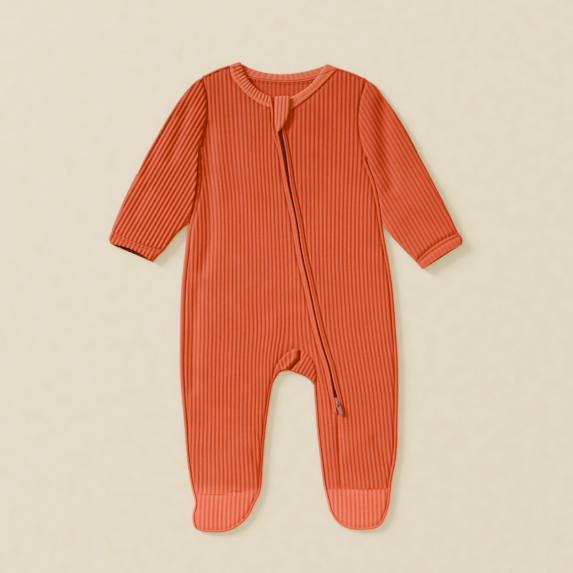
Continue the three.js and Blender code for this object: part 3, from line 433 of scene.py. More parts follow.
def all_cloth(parts):
    """The laid points, coordinates and painted groove shades of several cloths, end to end."""
    return tuple(np.concatenate([part[k] for part in parts]) for k in range(3))


def weave_into(piece, cloth):
    """Writes the cloth's coordinates and painted groove shade into the final mesh, from the nearest laid
    point.
    """
    places, coordinates, groove = cloth
    tree = KDTree(len(places))
    for index, place in enumerate(places):
        tree.insert(place, index)
    tree.balance()
    mesh = piece.data
    nearest = np.array([tree.find(vert.co)[1] for vert in mesh.vertices])
    corners = np.empty(len(mesh.loops), int)
    mesh.loops.foreach_get("vertex_index", corners)
    layer = mesh.uv_layers.new(name="knit")
    layer.data.foreach_set("uv", coordinates[nearest][corners].ravel())
    attribute = mesh.attributes.new("groove", "FLOAT", "POINT")
    attribute.data.foreach_set("value", groove[nearest])
    mesh.shade_smooth()
    mesh.set_sharp_from_angle(angle=math.radians(50))
    triangles = sum(len(face.vertices) - 2 for face in mesh.polygons)
    print(piece.name, len(mesh.vertices), "points", triangles, "triangles")


# %% [markdown]
# ## Materials
# The cloth is taken to be a rib-knit cotton with a little elastane, dyed coral red. It is matt, with a soft
# sheen where fibres stand up at a low angle. The grooves, seam ditches and hollows are painted darker, as
# painted shade, and a painted light ramp runs along the garment. The stitches are 1.2 mm wide and 1.0 mm
# high, too fine to show from above, so they are only bump.

# %% Colour and node helpers
def linear(hex_code):
    """An sRGB hex colour as linear RGBA."""
    values = [int(hex_code[i:i + 2], 16) / 255 for i in (1, 3, 5)]
    return [v / 12.92 if v <= 0.04045 else ((v + 0.055) / 1.055) ** 2.4 for v in values] + [1.0]


def feed(node, **inputs):
    """Links or fills a node's inputs, each named with _ for a space, or i0, i1 and so on by number."""
    for name, value in inputs.items():
        number = name[1:]
        socket = node.inputs[int(number)] if number.isdigit() else node.inputs[name.replace("_", " ")]
        if isinstance(value, bpy.types.NodeSocket):
            node.id_data.links.new(value, socket)
        else:
            socket.default_value = value


def add_node(tree, kind, settings=None, **inputs):
    """Adds a node, sets its properties and feeds its inputs."""
    node = tree.nodes.new(kind)
    for name, value in (settings or {}).items():
        setattr(node, name, value)
    feed(node, **inputs)
    return node


def reckon(tree, operation, first, second):
    """The result of one arithmetic node."""
    return add_node(tree, "ShaderNodeMath", {"operation": operation}, i0=first, i1=second).outputs[0]


def ranged(tree, value, low, high, to_low=0.0, to_high=1.0):
    """A value taken from one range to another."""
    return add_node(
        tree, "ShaderNodeMapRange", Value=value, From_Min=low, From_Max=high, To_Min=to_low, To_Max=to_high
    ).outputs[0]


def noise(tree, scale, detail, roughness=0.5):
    """Even noise in the piece's own space."""
    place = add_node(tree, "ShaderNodeTexCoord").outputs["Object"]
    return add_node(
        tree, "ShaderNodeTexNoise", Vector=place, Scale=scale, Detail=detail, Roughness=roughness
    ).outputs["Fac"]


def bumped(tree, strength, depth, height):
    """A normal raised by a height, by a depth in millimetres."""
    return add_node(
        tree, "ShaderNodeBump", Strength=strength, Distance=depth * MM, Height=height
    ).outputs[0]


def new_material(name):
    material = bpy.data.materials.new(name)
    material.use_nodes = True
    tree = material.node_tree
    return material, tree, tree.nodes["Principled BSDF"]


# %% Rib-knit cotton with a painted light ramp, brightest over the feet and darkest towards the neck, as it looks in the photograph
PAINTED_LIGHT_ALONG = [(0.0, 0.88), (0.084, 0.84), (0.1, 0.56), (0.25, 0.52), (0.62, 0.49), (1.0, 0.34)]
GARMENT_HALF = 0.28
KNIT_BUMP = 0.12
STITCH_WIDTH, STITCH_HEIGHT = 1.2, 1.0


def painted_light_along(tree):
    """A painted light level for each place between the toes and the neck, brightest over the feet."""
    place = add_node(tree, "ShaderNodeTexCoord").outputs["Object"]
    down = add_node(tree, "ShaderNodeSeparateXYZ", i0=place).outputs[1]
    level = add_node(tree, "ShaderNodeValToRGB", Fac=ranged(tree, down, -GARMENT_HALF, GARMENT_HALF))
    ramp = level.color_ramp.elements
    for stop, _ in PAINTED_LIGHT_ALONG[1:-1]:
        ramp.new(stop)
    for element, (_, grey) in zip(ramp, PAINTED_LIGHT_ALONG):
        element.color = (grey, grey, grey, 1)
    return level.outputs[0]


def stitch_height(tree):
    """V-shaped stitches, from the cloth's own coordinates."""
    uv = add_node(tree, "ShaderNodeUVMap", {"uv_map": "knit"}).outputs["UV"]
    scale = (1 / (STITCH_WIDTH * MM), 1 / (STITCH_HEIGHT * MM), 1)
    stitches = add_node(tree, "ShaderNodeMapping", Vector=uv, Scale=scale).outputs[0]
    turns = add_node(tree, "ShaderNodeSeparateXYZ", i0=stitches)
    wale = reckon(tree, "PINGPONG", turns.outputs[0], 0.5)
    loop = reckon(tree, "PINGPONG", reckon(tree, "ADD", turns.outputs[1], wale), 0.5)
    return reckon(tree, "MULTIPLY", loop, wale)


def rib_knit(name, top, groove):
    material, tree, shader = new_material(name)
    depth = add_node(tree, "ShaderNodeAttribute", {"attribute_name": "groove"}).outputs["Fac"]
    # The groove colour is painted shade: grooves, seam ditches and hollows take it by their groove shade
    # value.
    base = add_node(
        tree, "ShaderNodeMix", {"data_type": "RGBA"},
        Factor=ranged(tree, depth, 0.05, 0.9), i6=linear(top), i7=linear(groove),
    )
    cloud = ranged(tree, noise(tree, 38.0, 3.0, 0.6), 0.3, 0.7, 0.93, 1.07)
    grain = ranged(tree, noise(tree, 420.0, 2.0, 0.7), 0.3, 0.7, 0.92, 1.08)
    # Groove shade values from 1 to 2 darken the colour further: painted shade in the gusset pocket and the
    # cuff openings.
    painted_hollow_shade = ranged(tree, depth, 1.0, 2.0, 1.0, 0.2)
    tone = reckon(tree, "MULTIPLY", reckon(tree, "MULTIPLY", cloud, painted_hollow_shade), grain)
    # Painted light: the level along the garment brightens the feet and darkens the chest.
    tone = reckon(tree, "MULTIPLY", tone, reckon(tree, "MULTIPLY", painted_light_along(tree), 2.0))
    dye_and_painted_light = add_node(tree, "ShaderNodeVectorMath", {"operation": "SCALE"}, i0=base.outputs[2], Scale=tone)
    height = reckon(tree, "ADD", stitch_height(tree), noise(tree, 900.0, 3.0))
    feed(
        shader, Base_Color=dye_and_painted_light.outputs[0], Normal=bumped(tree, 0.5, KNIT_BUMP, height), Roughness=0.88,
        Specular_IOR_Level=0.15, Sheen_Weight=0.06, Sheen_Roughness=0.5, Sheen_Tint=linear("#ff9a7a"),
    )
    return material


knit = rib_knit("rib_knit_cotton_coral", "#a02a09", "#8c2006")
trim = rib_knit("rib_knit_cotton_trim", "#bc411c", "#9c2b11")
print("materials", knit.name, trim.name)


def dress(piece, material, slot, *nodes, body=BODY):
    """Gives a piece its material, and puts it on its body in place of its solids. Its slot is not used."""
    piece.data.materials.clear()
    piece.data.materials.append(material)
    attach(piece, body)
    if nodes:
        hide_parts(*nodes)
    return piece


# %% [markdown]
# ## The fronts
# Both fronts are one ribbed sheet until they are cut apart along the zip and the leg seam. The ribs lean
# with the table above, so they stay whole from shoulder to ankle, as knitted ribs do.

# %% Cutting regions of the body
def body_region(inset, armhole_inset=0.0):
    return np.vstack([
        beside(shoulder_right, inset)[:, :2],
        beside(armhole_right, armhole_inset),
        beside(right_edge, inset)[:, :2],
        beside(left_edge, inset)[:, :2],
        beside(armhole_left, -armhole_inset)[::-1],
        beside(shoulder_left, inset)[:, :2],
    ])


def seam_of(run):
    """The seam beside an edge, at the distance that the third column gives."""
    return beside(run, run[:, 2])


def turned_strip(run):
    return np.vstack([beside(run, -2)[:, :2], beside(run, run[:, 2] - TUCK)[::-1, :2]])


under_crotch = [(33.2, -105.2), (31, -113), (-8.5, -106), (-11.5, -97.2)]
gusset_region = np.vstack([beside(gusset_arch, -TUCK), under_crotch])
front_neck_region = np.vstack([
    beside(neck_runs["right_seam"], TUCK), beside(neck_runs["left_seam"], TUCK),
    [(62.4, 273.6), (63.4, LONG), (-68, LONG), (-67, 276.6)],
])
back_neck_region = np.vstack([
    beside(neck_runs["back_seam"], TUCK), [(62.8, 273), (63.4, LONG), (-68, LONG), (-67.6, 276)],
])
ankles = np.vstack([smooth(ANKLE_RIGHT, 40), smooth(ANKLE_LEFT, 32)[1:]])
legs_region = np.vstack([ankles, [(WIDE, LONG), (-WIDE, LONG)]])
feet_region = np.vstack([ankles, [(WIDE, -LONG), (-WIDE, -LONG)]])
seam_runs = [seam_of(run) for run in body_edges] + [
    gusset_arch, armhole_right, armhole_left, neck_runs["right_seam"], neck_runs["left_seam"], ankles,
    beside(zip_line, WELT_WIDTH), beside(zip_line, -WELT_WIDTH), leg_seam,
]


def wearers_right_of_zip():
    down = np.vstack([zip_line, leg_seam])
    corners = [(down[-1, 0], -LONG), (-WIDE, -LONG), (-WIDE, LONG), (down[0, 0], LONG)]
    return np.vstack([down, corners])


# %% The ribbed sheet of the front, cut into the wearer's right and left
FRONT_FROM, FRONT_RIBS = -28 * RIB_PITCH, 57
FRONT_TOP, FRONT_END = 290.0, -242.0


def lay_front(a, b):
    u = FRONT_FROM + a * FRONT_RIBS * RIB_PITCH
    y = FRONT_END + b * (FRONT_TOP - FRONT_END)
    x = u + lean_at(u, y)
    seam = near(seam_runs, x, y, SEAM_REACH)
    up = rib_up(u) * (1 - SEAM_FLAT * seam)
    z = front_inside(x, y) + WALL + RIB_HEIGHT * up - SEAM_DIP * seam
    # Seam ditches take a high groove shade: painted shade in the ditches.
    return x, y, z, u, y, np.maximum(1 - rib_up(u), 0.8 * seam)


def cut_front(name, side):
    rows = round((FRONT_TOP - FRONT_END) / ROW_STEP)
    sheet, cloth = cloth_grid(name, FRONT_RIBS * RIB_COLUMNS, rows, lay_front)
    zip_band = np.vstack([beside(zip_line, WELT_WIDTH), beside(zip_line, -WELT_WIDTH)[::-1]])
    strips = [turned_strip(run) for run in body_edges]
    cut_by(
        sheet, keep=[body_region(0), legs_region],
        drop=[gusset_region, front_neck_region, zip_band] + strips,
    )
    half = [wearers_right_of_zip()]
    if side == "right":
        cut_by(sheet, keep=half)
    else:
        cut_by(sheet, drop=half)
    return sheet, cloth


# %% [markdown]
# ## The zip opening
# Each front ends in a welt: the cloth is folded back beside the zip and held by a row of stitches. The welts
# hide the coil and leave a dark slit, wide at the top and at the slider. A welt is a closed strip drawn
# along the zip line from one rounded section, and then joined to the cloth of its front.

# %% Welts
SLITS = [
    (-138.6, 1.2), (-135, 2.0), (-117, 2.0), (-108, 1.3), (-96, 1.0), (-70, 0.9), (-30, 0.8), (60, 0.8),
    (112, 0.9), (146, 1.6), (172, 2.3), (204, 2.4), (230, 0.9),
]
GUARD = [
    (-18.0, 240, 4.1), (-16.6, 231, 4.1), (-15.2, 222, 3.9), (-15.3, 212, 3.4), (-15.2, 203, 2.9),
    (-12.8, 192, 2.5), (-9.2, 179, 1.2),
]
GUARD_HALF = 1.35
GUARD_SECTION = [
    (-1, 0.35), (-0.9, 0.7), (-0.5, 0.93), (0, 1), (0.5, 0.93), (0.9, 0.7), (1, 0.35), (0.5, 0.3),
    (-0.5, 0.3),
]
WELT_END = 7.4
WELT_SECTION = [
    (0.0, 1.25), (0.015, 1.75), (0.06, 2.2), (0.13, 2.45), (0.22, 2.5), (0.33, 2.3), (0.44, 1.95),
    (0.55, 1.95), (0.66, 2.1), (0.75, 1.85), (0.82, 1.2), (0.88, 0.85), (0.94, 0.8), (1.0, 0.7),
    (1.0, 0.1), (0.75, 0.0), (0.45, 0.0), (0.2, 0.05), (0.08, 0.3), (0.02, 0.75),
]


def slit_half(y):
    table = np.array(SLITS)
    return np.interp(y, table[:, 0], table[:, 1])


def closed_strip(name, around, along, lay):
    """A closed form drawn along a run, whose section goes all round, with both ends filled."""
    return cloth_grid(name, around, along, lay, wrap=True, thickness=0)


def strip_stops(a, b, around, along):
    """The point of the section and the station on the run for each a and b from 0 to 1."""
    return np.rint(a * around).astype(int) % around, np.rint(b * (along - 1)).astype(int)


def off_run(run, side, index, e):
    """Places at a distance e to the side of a run's stations."""
    return run[index, 0] + side[index, 0] * e, run[index, 1] + side[index, 1] * e


def make_welt(side):
    section = np.array(WELT_SECTION)
    across = sideways(zip_line) * side
    half = slit_half(zip_line[:, 1])

    def lay(a, b):
        spot, index = strip_stops(a, b, len(section), len(zip_line))
        e = half[index] + (WELT_END - half[index]) * section[spot, 0]
        x, y = off_run(zip_line, across, index, e)
        # Painted shade: the welt's outer part at the topstitch ditch, its underside and the dip in its middle
        # take a higher groove shade.
        groove = np.where((section[spot, 0] > 0.78) | (section[spot, 1] < 0.5), 0.8, 0.1)
        groove = np.where((section[spot, 0] > 0.4) & (section[spot, 0] < 0.6), 0.35, groove)
        return x, y, front_inside(x, y) + section[spot, 1], e + section[spot, 1], y, groove

    return closed_strip("welt", len(section), len(zip_line) - 1, lay)


def make_guard():
    """The folded edge of the wearer's right front, which stands beside the zip cover."""
    run = smooth(GUARD, 40)
    side = sideways(run)
    section = np.array(GUARD_SECTION, float)

    def lay(a, b):
        spot, index = strip_stops(a, b, len(section), len(run))
        e = GUARD_HALF * section[spot, 0]
        x, y = off_run(run, side, index, e)
        z = front_inside(x, y) + run[index, 2] * section[spot, 1]
        # The lower sides of the fold take a high groove shade: painted shade at its foot.
        return x, y, z, e + z, y, np.where(section[spot, 1] < 0.6, 0.9, 0.0)

    return closed_strip("guard", len(section), len(run) - 1, lay)


# %% Each front with its welt
def add_welt(front, cloth, side):
    welt, welt_cloth = make_welt(side)
    cut_by(welt, drop=[front_neck_region])
    forms, clothes = [welt], [cloth, welt_cloth]
    if side < 0:
        guard, guard_cloth = make_guard()
        forms.append(guard)
        clothes.append(guard_cloth)
    join_cloth(front, forms)
    weave_into(front, all_cloth(clothes))
    return front


front_right = dress(add_welt(*cut_front("front_right_cloth", "right"), -1), knit, "rib_cloth", "front_right")
front_left = dress(add_welt(*cut_front("front_left_cloth", "left"), 1), knit, "rib_cloth", "front_left")

# %% [markdown]
# ## Edges turned over, and the back
# The back is wider than the front, so its cloth turns over at the sides, the inseams and the shoulders, and
# the seam lies on top, a few millimetres in. A grid rolled round the edge makes this, with a dip at the seam.

# %% The turned edges
LAP = [(1.0, 0.55), (0.75, 0.1), (0.35, 0.0)]
EDGE_TURNS = np.radians([90, 66, 42, 18, -6, -30, -54, -78, -90])
UNDERLAP = 2.0


def turned_edge(run):
    """The back's cloth rolled over an edge: each row of LAP is a share of the way in and a dip."""
    side = sideways(run)
    last = len(LAP) + len(EDGE_TURNS)

    def lay(a, b):
        index = np.rint(b * (len(run) - 1)).astype(int)
        column = np.rint(a * last).astype(int)
        e = np.full(len(a), EDGE_RADIUS + UNDERLAP)
        z = np.zeros(len(a))
        for k, (share, dip) in enumerate(LAP):
            here = column == k
            e[here] = EDGE_RADIUS + (run[index, 2][here] - EDGE_RADIUS) * share
            z[here] = EDGE_HEIGHT - dip
        for k, turn in enumerate(EDGE_TURNS):
            here = column == len(LAP) + k
            e[here] = EDGE_RADIUS * (1 - math.cos(turn))
            z[here] = EDGE_RADIUS * (1 + math.sin(turn))
        x, y = off_run(run, side, index, e)
        # The row at the seam takes a high groove shade: painted shade in the seam ditch.
        return x, y, z, e + 3 * z, y, np.where(column == 0, 0.8, 0.15)

    return cloth_grid("roll", last, len(run) - 1, lay)


# %% The back with its turned edges, and the soles
BACK_TOP, BACK_END = 292.0, -288.0
BACK_RIB_COLUMNS, BACK_ROWS = 6, 72
BACK_RIB = 0.4
INSIDE_FROM, INSIDE_TO = 0.9, 2.2
BETWEEN_FEET = 5


def lay_plate(a, b):
    """The back's flat underside, ribs pressed against the floor."""
    u = FRONT_FROM + a * FRONT_RIBS * RIB_PITCH
    y = BACK_END + b * (BACK_TOP - BACK_END)
    x = u + lean_at(u, y)
    z = BACK_RIB * (1 - rib_up(u))
    return x, y, z, u, y, 0.9 * (1 - rib_up(u))


def press_inside(piece):
    """The inner face of the back is the knit's reverse, on which the ribs are faint."""
    mesh = piece.data
    groove = mesh.attributes["groove"].data
    for vert in mesh.vertices:
        if INSIDE_FROM * MM < vert.co.z < INSIDE_TO * MM:
            groove[vert.index].value = 0.35 + 0.15 * groove[vert.index].value


def twin(piece, name):
    """A second piece of the same shape."""
    copied = piece.copy()
    copied.data = piece.data.copy()
    copied.name = name
    scene_collection.objects.link(copied)
    return copied


def make_back():
    columns = FRONT_RIBS * BACK_RIB_COLUMNS
    plate, cloth = cloth_grid("back_cloth", columns, BACK_ROWS, lay_plate, thickness=-WALL)
    cut_by(plate, keep=[body_region(EDGE_RADIUS + 0.8)])
    rolls, clothes = [], [cloth]
    for run in body_edges:
        roll, rolled = turned_edge(run)
        rolls.append(roll)
        clothes.append(rolled)
    join_cloth(plate, rolls)
    cut_by(plate, drop=[gusset_region, back_neck_region])
    left = twin(plate, "sole_left_cloth")
    cut_by(left, keep=[feet_region])
    cut_by(plate, keep=[legs_region])
    left_half = [[(BETWEEN_FEET, LONG), (WIDE, LONG), (WIDE, -LONG), (BETWEEN_FEET, -LONG)]]
    right = twin(left, "sole_right_cloth")
    cut_by(left, keep=left_half)
    cut_by(right, drop=left_half)
    for piece in (plate, left, right):
        weave_into(piece, all_cloth(clothes))
        press_inside(piece)
    return plate, right, left


back, sole_right, sole_left = make_back()
for piece, node in ((back, "back"), (sole_right, "sole_right"), (sole_left, "sole_left")):
    dress(piece, knit, "rib_cloth", node)

# %% [markdown]
# ## The feet
# Each foot's upper is a ribbed sheet of its own, whose ribs run to the toe at a slightly wider pitch.

# %% Foot uppers
FOOT_PITCH = 5.2
FOOT_END, FOOT_LENGTH, FOOT_ROWS = -288.0, 64.0, 22
FAN_TOP = -226.0
FOOT_RIB_SHARE = 0.85


def make_foot(name, x0, x1, slant, edge):
    ribs = math.ceil((x1 - x0) / FOOT_PITCH)

    def lay(a, b):
        u = x0 + a * ribs * FOOT_PITCH
        y = FOOT_END + b * FOOT_LENGTH
        down = y - FAN_TOP
        x = u + slant * down * (1 + down / 60 * 0.6)
        seam = near([seam_of(edge), ankles], x, y, SEAM_REACH)
        up = rib_up(u, FOOT_PITCH)
        z = front_inside(x, y) + WALL + RIB_HEIGHT * FOOT_RIB_SHARE * up * (1 - SEAM_FLAT * seam)
        # Seam ditches take a high groove shade: painted shade in the ditches.
        return x, y, z - SEAM_DIP * seam, u, y, np.maximum(1 - up, 0.8 * seam)

    sheet, cloth = cloth_grid(name, ribs * RIB_COLUMNS, FOOT_ROWS, lay)
    cut_by(sheet, keep=[edge, feet_region], drop=[turned_strip(edge)])
    weave_into(sheet, cloth)
    return sheet


foot_right = dress(make_foot("foot_right_cloth", -120, -20, 0.1, right_edge), knit, "rib_cloth", "foot_right")
foot_left = dress(make_foot("foot_left_cloth", 38, 136, -0.06, left_edge), knit, "rib_cloth", "foot_left")


# %% [markdown]
# ## Sleeves and cuffs
# A sleeve is a flat tube. A grid is wrapped round its sections, with ribs on top, two on each folded edge
# and as many underneath, and its first and last columns are merged. The armhole cuts it to the body's curve.

# %% Flat tubes
RIGHT_GRAIN, LEFT_GRAIN = (-0.50, -0.866, 4.8), (0.50, -0.866, 5.0)
SLEEVE_STEPS, CUFF_STEPS, CUFF_WALL = 110, 20, 1.5
PUFF, PUFF_REACH = 0.6, 9
ARMHOLE_LAP = 0.02
MOUTH_LOW, SHADE_FROM, SHADE_TO = 3.2, 0.7, 3.9


def across_section(row, e):
    """Places at a distance e across each sleeve section, bent by its bow."""
    width = np.hypot(row[:, 2] - row[:, 0], row[:, 3] - row[:, 1])
    t = e / width
    side = np.where(row[:, 0] < 0, 1.0, -1.0)
    along = np.stack([row[:, 2] - row[:, 0], row[:, 3] - row[:, 1]], axis=1) / width[:, None]
    bend = 4 * t * (1 - t) * row[:, 4] * side
    x = row[:, 0] + along[:, 0] * e - along[:, 1] * bend
    return x, row[:, 1] + along[:, 1] * e + along[:, 0] * bend


def lay_tube(rows, grain, seams, rib_height):
    """The lay of a flat tube; its grain is the way that its ribs run, as x and y, and their pitch."""
    table = np.array(rows, float)
    ribs = SLEEVE_RIBS
    around = 2 * (ribs + FOLD_RIBS)
    down_x, down_y, pitch = grain
    corner = np.array(rows[-1][:2])

    def lay(a, b):
        turn = a * around
        row = spline_at(table, b)
        width = np.hypot(row[:, 2] - row[:, 0], row[:, 3] - row[:, 1])
        radius = (row[:, 6] - row[:, 5]) / 2
        middle = row[:, 5] + radius
        flat = width - 2 * radius
        on_top = turn <= ribs
        inner = (turn > ribs) & (turn < ribs + FOLD_RIBS)
        under = (turn >= ribs + FOLD_RIBS) & (turn <= 2 * ribs + FOLD_RIBS)
        share = np.select([on_top, under], [turn / ribs, (2 * ribs + FOLD_RIBS - turn) / ribs], 0)
        outer = ~(on_top | inner | under)
        turned = [(turn - ribs) / FOLD_RIBS, 1 + (turn - 2 * ribs - FOLD_RIBS) / FOLD_RIBS]
        angle = np.select([inner, outer], turned, 0) * math.pi
        e = np.where(on_top | under, radius + flat * share, radius)
        e = np.where(inner, width - radius + radius * np.sin(angle), e)
        e = np.where(outer, radius - radius * np.sin(angle - math.pi), e)
        z = np.where(on_top, radius, np.where(under, -radius, radius * np.cos(angle)))
        puff = PUFF * (1 - np.exp(-np.minimum(share, 1 - share) * flat / PUFF_REACH))
        side = np.where(row[:, 0] < 0, 1.0, -1.0)
        x, y = across_section(row, e)
        seam = near(seams, x, y, SEAM_REACH)
        u = abs(down_y) * (x - corner[0]) * side - abs(down_x) * (y - corner[1])
        v = down_x * (x - corner[0]) + down_y * (y - corner[1])
        up = rib_up(u + 0.8, pitch)
        raised = puff + rib_height * up * (1 - 0.5 * seam) - SEAM_DIP * seam - folds_at(x, y)
        lift = np.select([on_top, under], [raised, 0.5 * (1 - up)], 0)
        sunk = np.where(rib_height < 0.5, 0.35, 1.0) * (1 - up)
        # Seam ditches on top take a high groove shade: painted shade in the ditches.
        return x, y, middle + z + lift, u, v, np.maximum(sunk, 0.8 * seam * on_top)

    return lay, around


def make_tube(name, rows, steps, grain, seams, rib_height, thickness=WALL):
    lay, around = lay_tube(rows, grain, seams, rib_height)
    return cloth_grid(name, around * RIB_COLUMNS, steps, lay, wrap=True, thickness=thickness)


def largest_part(piece):
    """Keeps the largest loose part of a piece, and drops slivers that a cut has freed."""
    bm = bmesh.new()
    bm.from_mesh(piece.data)
    unseen = set(bm.verts)
    parts = []
    while unseen:
        grown = [unseen.pop()]
        part = []
        while grown:
            vert = grown.pop()
            part.append(vert)
            for edge in vert.link_edges:
                other = edge.other_vert(vert)
                if other in unseen:
                    unseen.discard(other)
                    grown.append(other)
        parts.append(part)
    parts.sort(key=len)
    for part in parts[:-1]:
        bmesh.ops.delete(bm, geom=part, context="VERTS")
    bm.to_mesh(piece.data)
    bm.free()
    return piece


def shade_inside(piece, low, high):
    """Darkens the faces that look up between two heights, where little light reaches into a tube."""
    mesh = piece.data
    groove = mesh.attributes["groove"].data
    for vert in mesh.vertices:
        if low * MM < vert.co.z < high * MM and vert.normal.z > 0.2:
            groove[vert.index].value = 1.9


def press_on_floor(piece):
    """No point of the cloth goes lower than the floor."""
    for vert in piece.data.vertices:
        vert.co.z = max(vert.co.z, 0.0)


def turn_faces_outwards(piece):
    bm = bmesh.new()
    bm.from_mesh(piece.data)
    bmesh.ops.recalc_face_normals(bm, faces=bm.faces)
    bm.to_mesh(piece.data)
    bm.free()


def seam_across(rows, share):
    row = spline_at(np.array(rows, float), np.array([share]))[0]
    return section_places(row, np.linspace(0, 1, SECTION_POINTS))


def make_sleeve(name, rows, grain, rib_height):
    seams = [seam_across(rows, 0.0), seam_across(rows, 1.0)]
    sleeve, cloth = make_tube(name, rows, SLEEVE_STEPS, grain, seams, rib_height)
    cut_by(sleeve, drop=[body_region(-ARMHOLE_LAP, -ARMHOLE_LAP)])
    largest_part(sleeve)
    press_on_floor(sleeve)
    weave_into(sleeve, cloth)
    return sleeve


STITCH_SHARES = (0.05, 0.27)


def make_cuff(name, rows, opening, grain, rib_height):
    seams = [seam_across(rows, share) for share in STITCH_SHARES]
    cuff, cloth = make_tube(name, rows, CUFF_STEPS, grain, seams, rib_height, thickness=CUFF_WALL)
    rim = section_places(rows[-1][:4] + (opening,), np.linspace(0, 1, 25))
    above = plan_prism(np.vstack([rim, rim[::-1] - [0, HIGH]]), low=MOUTH_LOW)
    cut(cuff, above, "DIFFERENCE")
    discard(above)
    press_on_floor(cuff)
    weave_into(cuff, cloth)
    shade_inside(cuff, SHADE_FROM, SHADE_TO)
    return cuff


sleeve_right = make_sleeve("sleeve_right_cloth", SLEEVE_RIGHT, RIGHT_GRAIN, 0.8)
dress(sleeve_right, knit, "rib_cloth", "sleeve_right")
sleeve_left = make_sleeve("sleeve_left_cloth", SLEEVE_LEFT, LEFT_GRAIN, 0.55)
dress(sleeve_left, knit, "rib_cloth", "sleeve_left")
cuff_right = make_cuff("cuff_right_cloth", CUFF_RIGHT, RIGHT_OPENING, RIGHT_GRAIN, 0.6)
dress(cuff_right, knit, "rib_trim", "cuff_right")
cuff_left = make_cuff("cuff_left_cloth", CUFF_LEFT, LEFT_OPENING, LEFT_GRAIN, 0.3)
dress(cuff_left, knit, "rib_trim", "cuff_left")

# %% [markdown]
# ## The fold-over mittens
# Behind each sleeve end lies one more layer of cloth, which a parent folds over the hand. On the wearer's
# right its edge shows just outside the sleeve, and on the left the sleeve hides it.

# %% Mittens
MITTEN_TOP, MITTEN_WALL = 1.4, 1.1
MITTEN_INSIDE = 3.0
MITTEN_RIB_COLUMNS, MITTEN_ROWS = 6, 18
MITTEN_END = 0.985


def make_mitten(name, rows, outside):
    """A mitten whose edge lies this far outside the sleeve, or inside it for a distance under zero."""
    table = np.array(rows[-3:], float)
    armhole = rows[0]

    def lay(a, b):
        row = spline_at(table, b * MITTEN_END)
        width = np.hypot(row[:, 2] - row[:, 0], row[:, 3] - row[:, 1])
        x, y = across_section(row, a * (width - MITTEN_INSIDE + outside) - outside)
        up = rib_up(a * SLEEVE_RIBS, 1.0)
        z = MITTEN_TOP - 0.3 * (1 - up)
        length = np.hypot(row[:, 0] - armhole[0], row[:, 1] - armhole[1])
        return x, y, z, a * SLEEVE_RIBS * RIB_PITCH, length, 1 - up

    wall = MITTEN_WALL if armhole[0] > 0 else -MITTEN_WALL
    mitten, cloth = cloth_grid(name, SLEEVE_RIBS * MITTEN_RIB_COLUMNS, MITTEN_ROWS, lay, thickness=wall)
    turn_faces_outwards(mitten)
    press_on_floor(mitten)
    weave_into(mitten, cloth)
    return mitten


mitten_right = dress(make_mitten("mitten_right_cloth", SLEEVE_RIGHT, 1.3), knit, "rib_cloth", "mitten_right")
mitten_left = dress(make_mitten("mitten_left_cloth", SLEEVE_LEFT, -0.6), knit, "rib_cloth", "mitten_left")

# %% [markdown]
# ## The crotch gusset
# A small leaf of cloth is set into the crotch and folds round its lower edge to the back. In the photograph
# it doesn't lie flat: a wrinkle runs down from its top, and the cloth on its left laps over the pocket.

# %% Gusset
GUSSET_RIB_REACH = 10.0
WRINKLE = [(15.3, -64), (14.6, -73.5), (8.5, -80), (1.5, -87.5)]
SLANT_X, SLANT_Y, SLANT_PITCH = 0.866, -0.5, 4.5


def make_gusset():
    turns = np.radians([60, 30, 0, -30, -60, -90])
    top_steps = 20
    length = np.linalg.norm(gusset_fold[:, :2] - gusset_arch[:, :2], axis=1)

    def lay(a, b):
        index = np.rint(a * (len(gusset_arch) - 1)).astype(int)
        stop = np.rint(b * (top_steps + len(turns) + 2)).astype(int)
        reach = np.maximum(length[index], EDGE_RADIUS + 0.3)
        e = EDGE_RADIUS + (reach - EDGE_RADIUS) * (1 - stop / top_steps)
        z = np.full(len(a), EDGE_HEIGHT)
        for k, turn in enumerate(turns):
            here = stop == top_steps + 1 + k
            e[here] = EDGE_RADIUS * (1 - math.cos(turn))
            z[here] = EDGE_RADIUS * (1 + math.sin(turn))
        last = stop >= top_steps + len(turns) + 1
        e[last] = EDGE_RADIUS + (reach[last] - EDGE_RADIUS) * (stop[last] - top_steps - len(turns)) / 2
        z[last] = 0
        t = 1 - e / np.maximum(length[index], 1e-6)
        x = gusset_arch[index, 0] + (gusset_fold[index, 0] - gusset_arch[index, 0]) * t
        y = gusset_arch[index, 1] + (gusset_fold[index, 1] - gusset_arch[index, 1]) * t
        on_top = stop <= top_steps
        wrinkle = np.array(WRINKLE, float)
        beyond = x > np.interp(y, wrinkle[::-1, 1], wrinkle[::-1, 0])
        slanted = rib_up(x * SLANT_X + y * SLANT_Y, SLANT_PITCH)
        up = np.where(beyond, slanted, rib_up(index, RIB_COLUMNS))
        seam = np.exp(-(((reach - e) / SEAM_REACH) ** 2)) * on_top
        pocket = near([wrinkle + [1.7, -1.2]], x, y, 2.3)
        lap = near([wrinkle + [-2.2, 1.6]], x, y, 2.4)
        raised = RIB_HEIGHT * up * np.minimum(1, length[index] / GUSSET_RIB_REACH)
        z = z + on_top * (raised - SEAM_DIP * seam - (1.9 * pocket - 1.0 * lap) * (1 - seam) + 0.3)
        # Painted shade: the whole leaf is a little darker than the other cloth, and the pocket much darker.
        groove = np.maximum(1.2 - up, 1.75 * pocket * on_top)
        return x, y, z, index * RIB_PITCH / RIB_COLUMNS, e, groove

    steps = top_steps + len(turns) + 2
    gusset, cloth = cloth_grid("gusset_cloth", len(gusset_arch) - 1, steps, lay, thickness=-WALL)
    weave_into(gusset, cloth)
    return gusset


gusset = dress(make_gusset(), knit, "rib_cloth", "gusset")

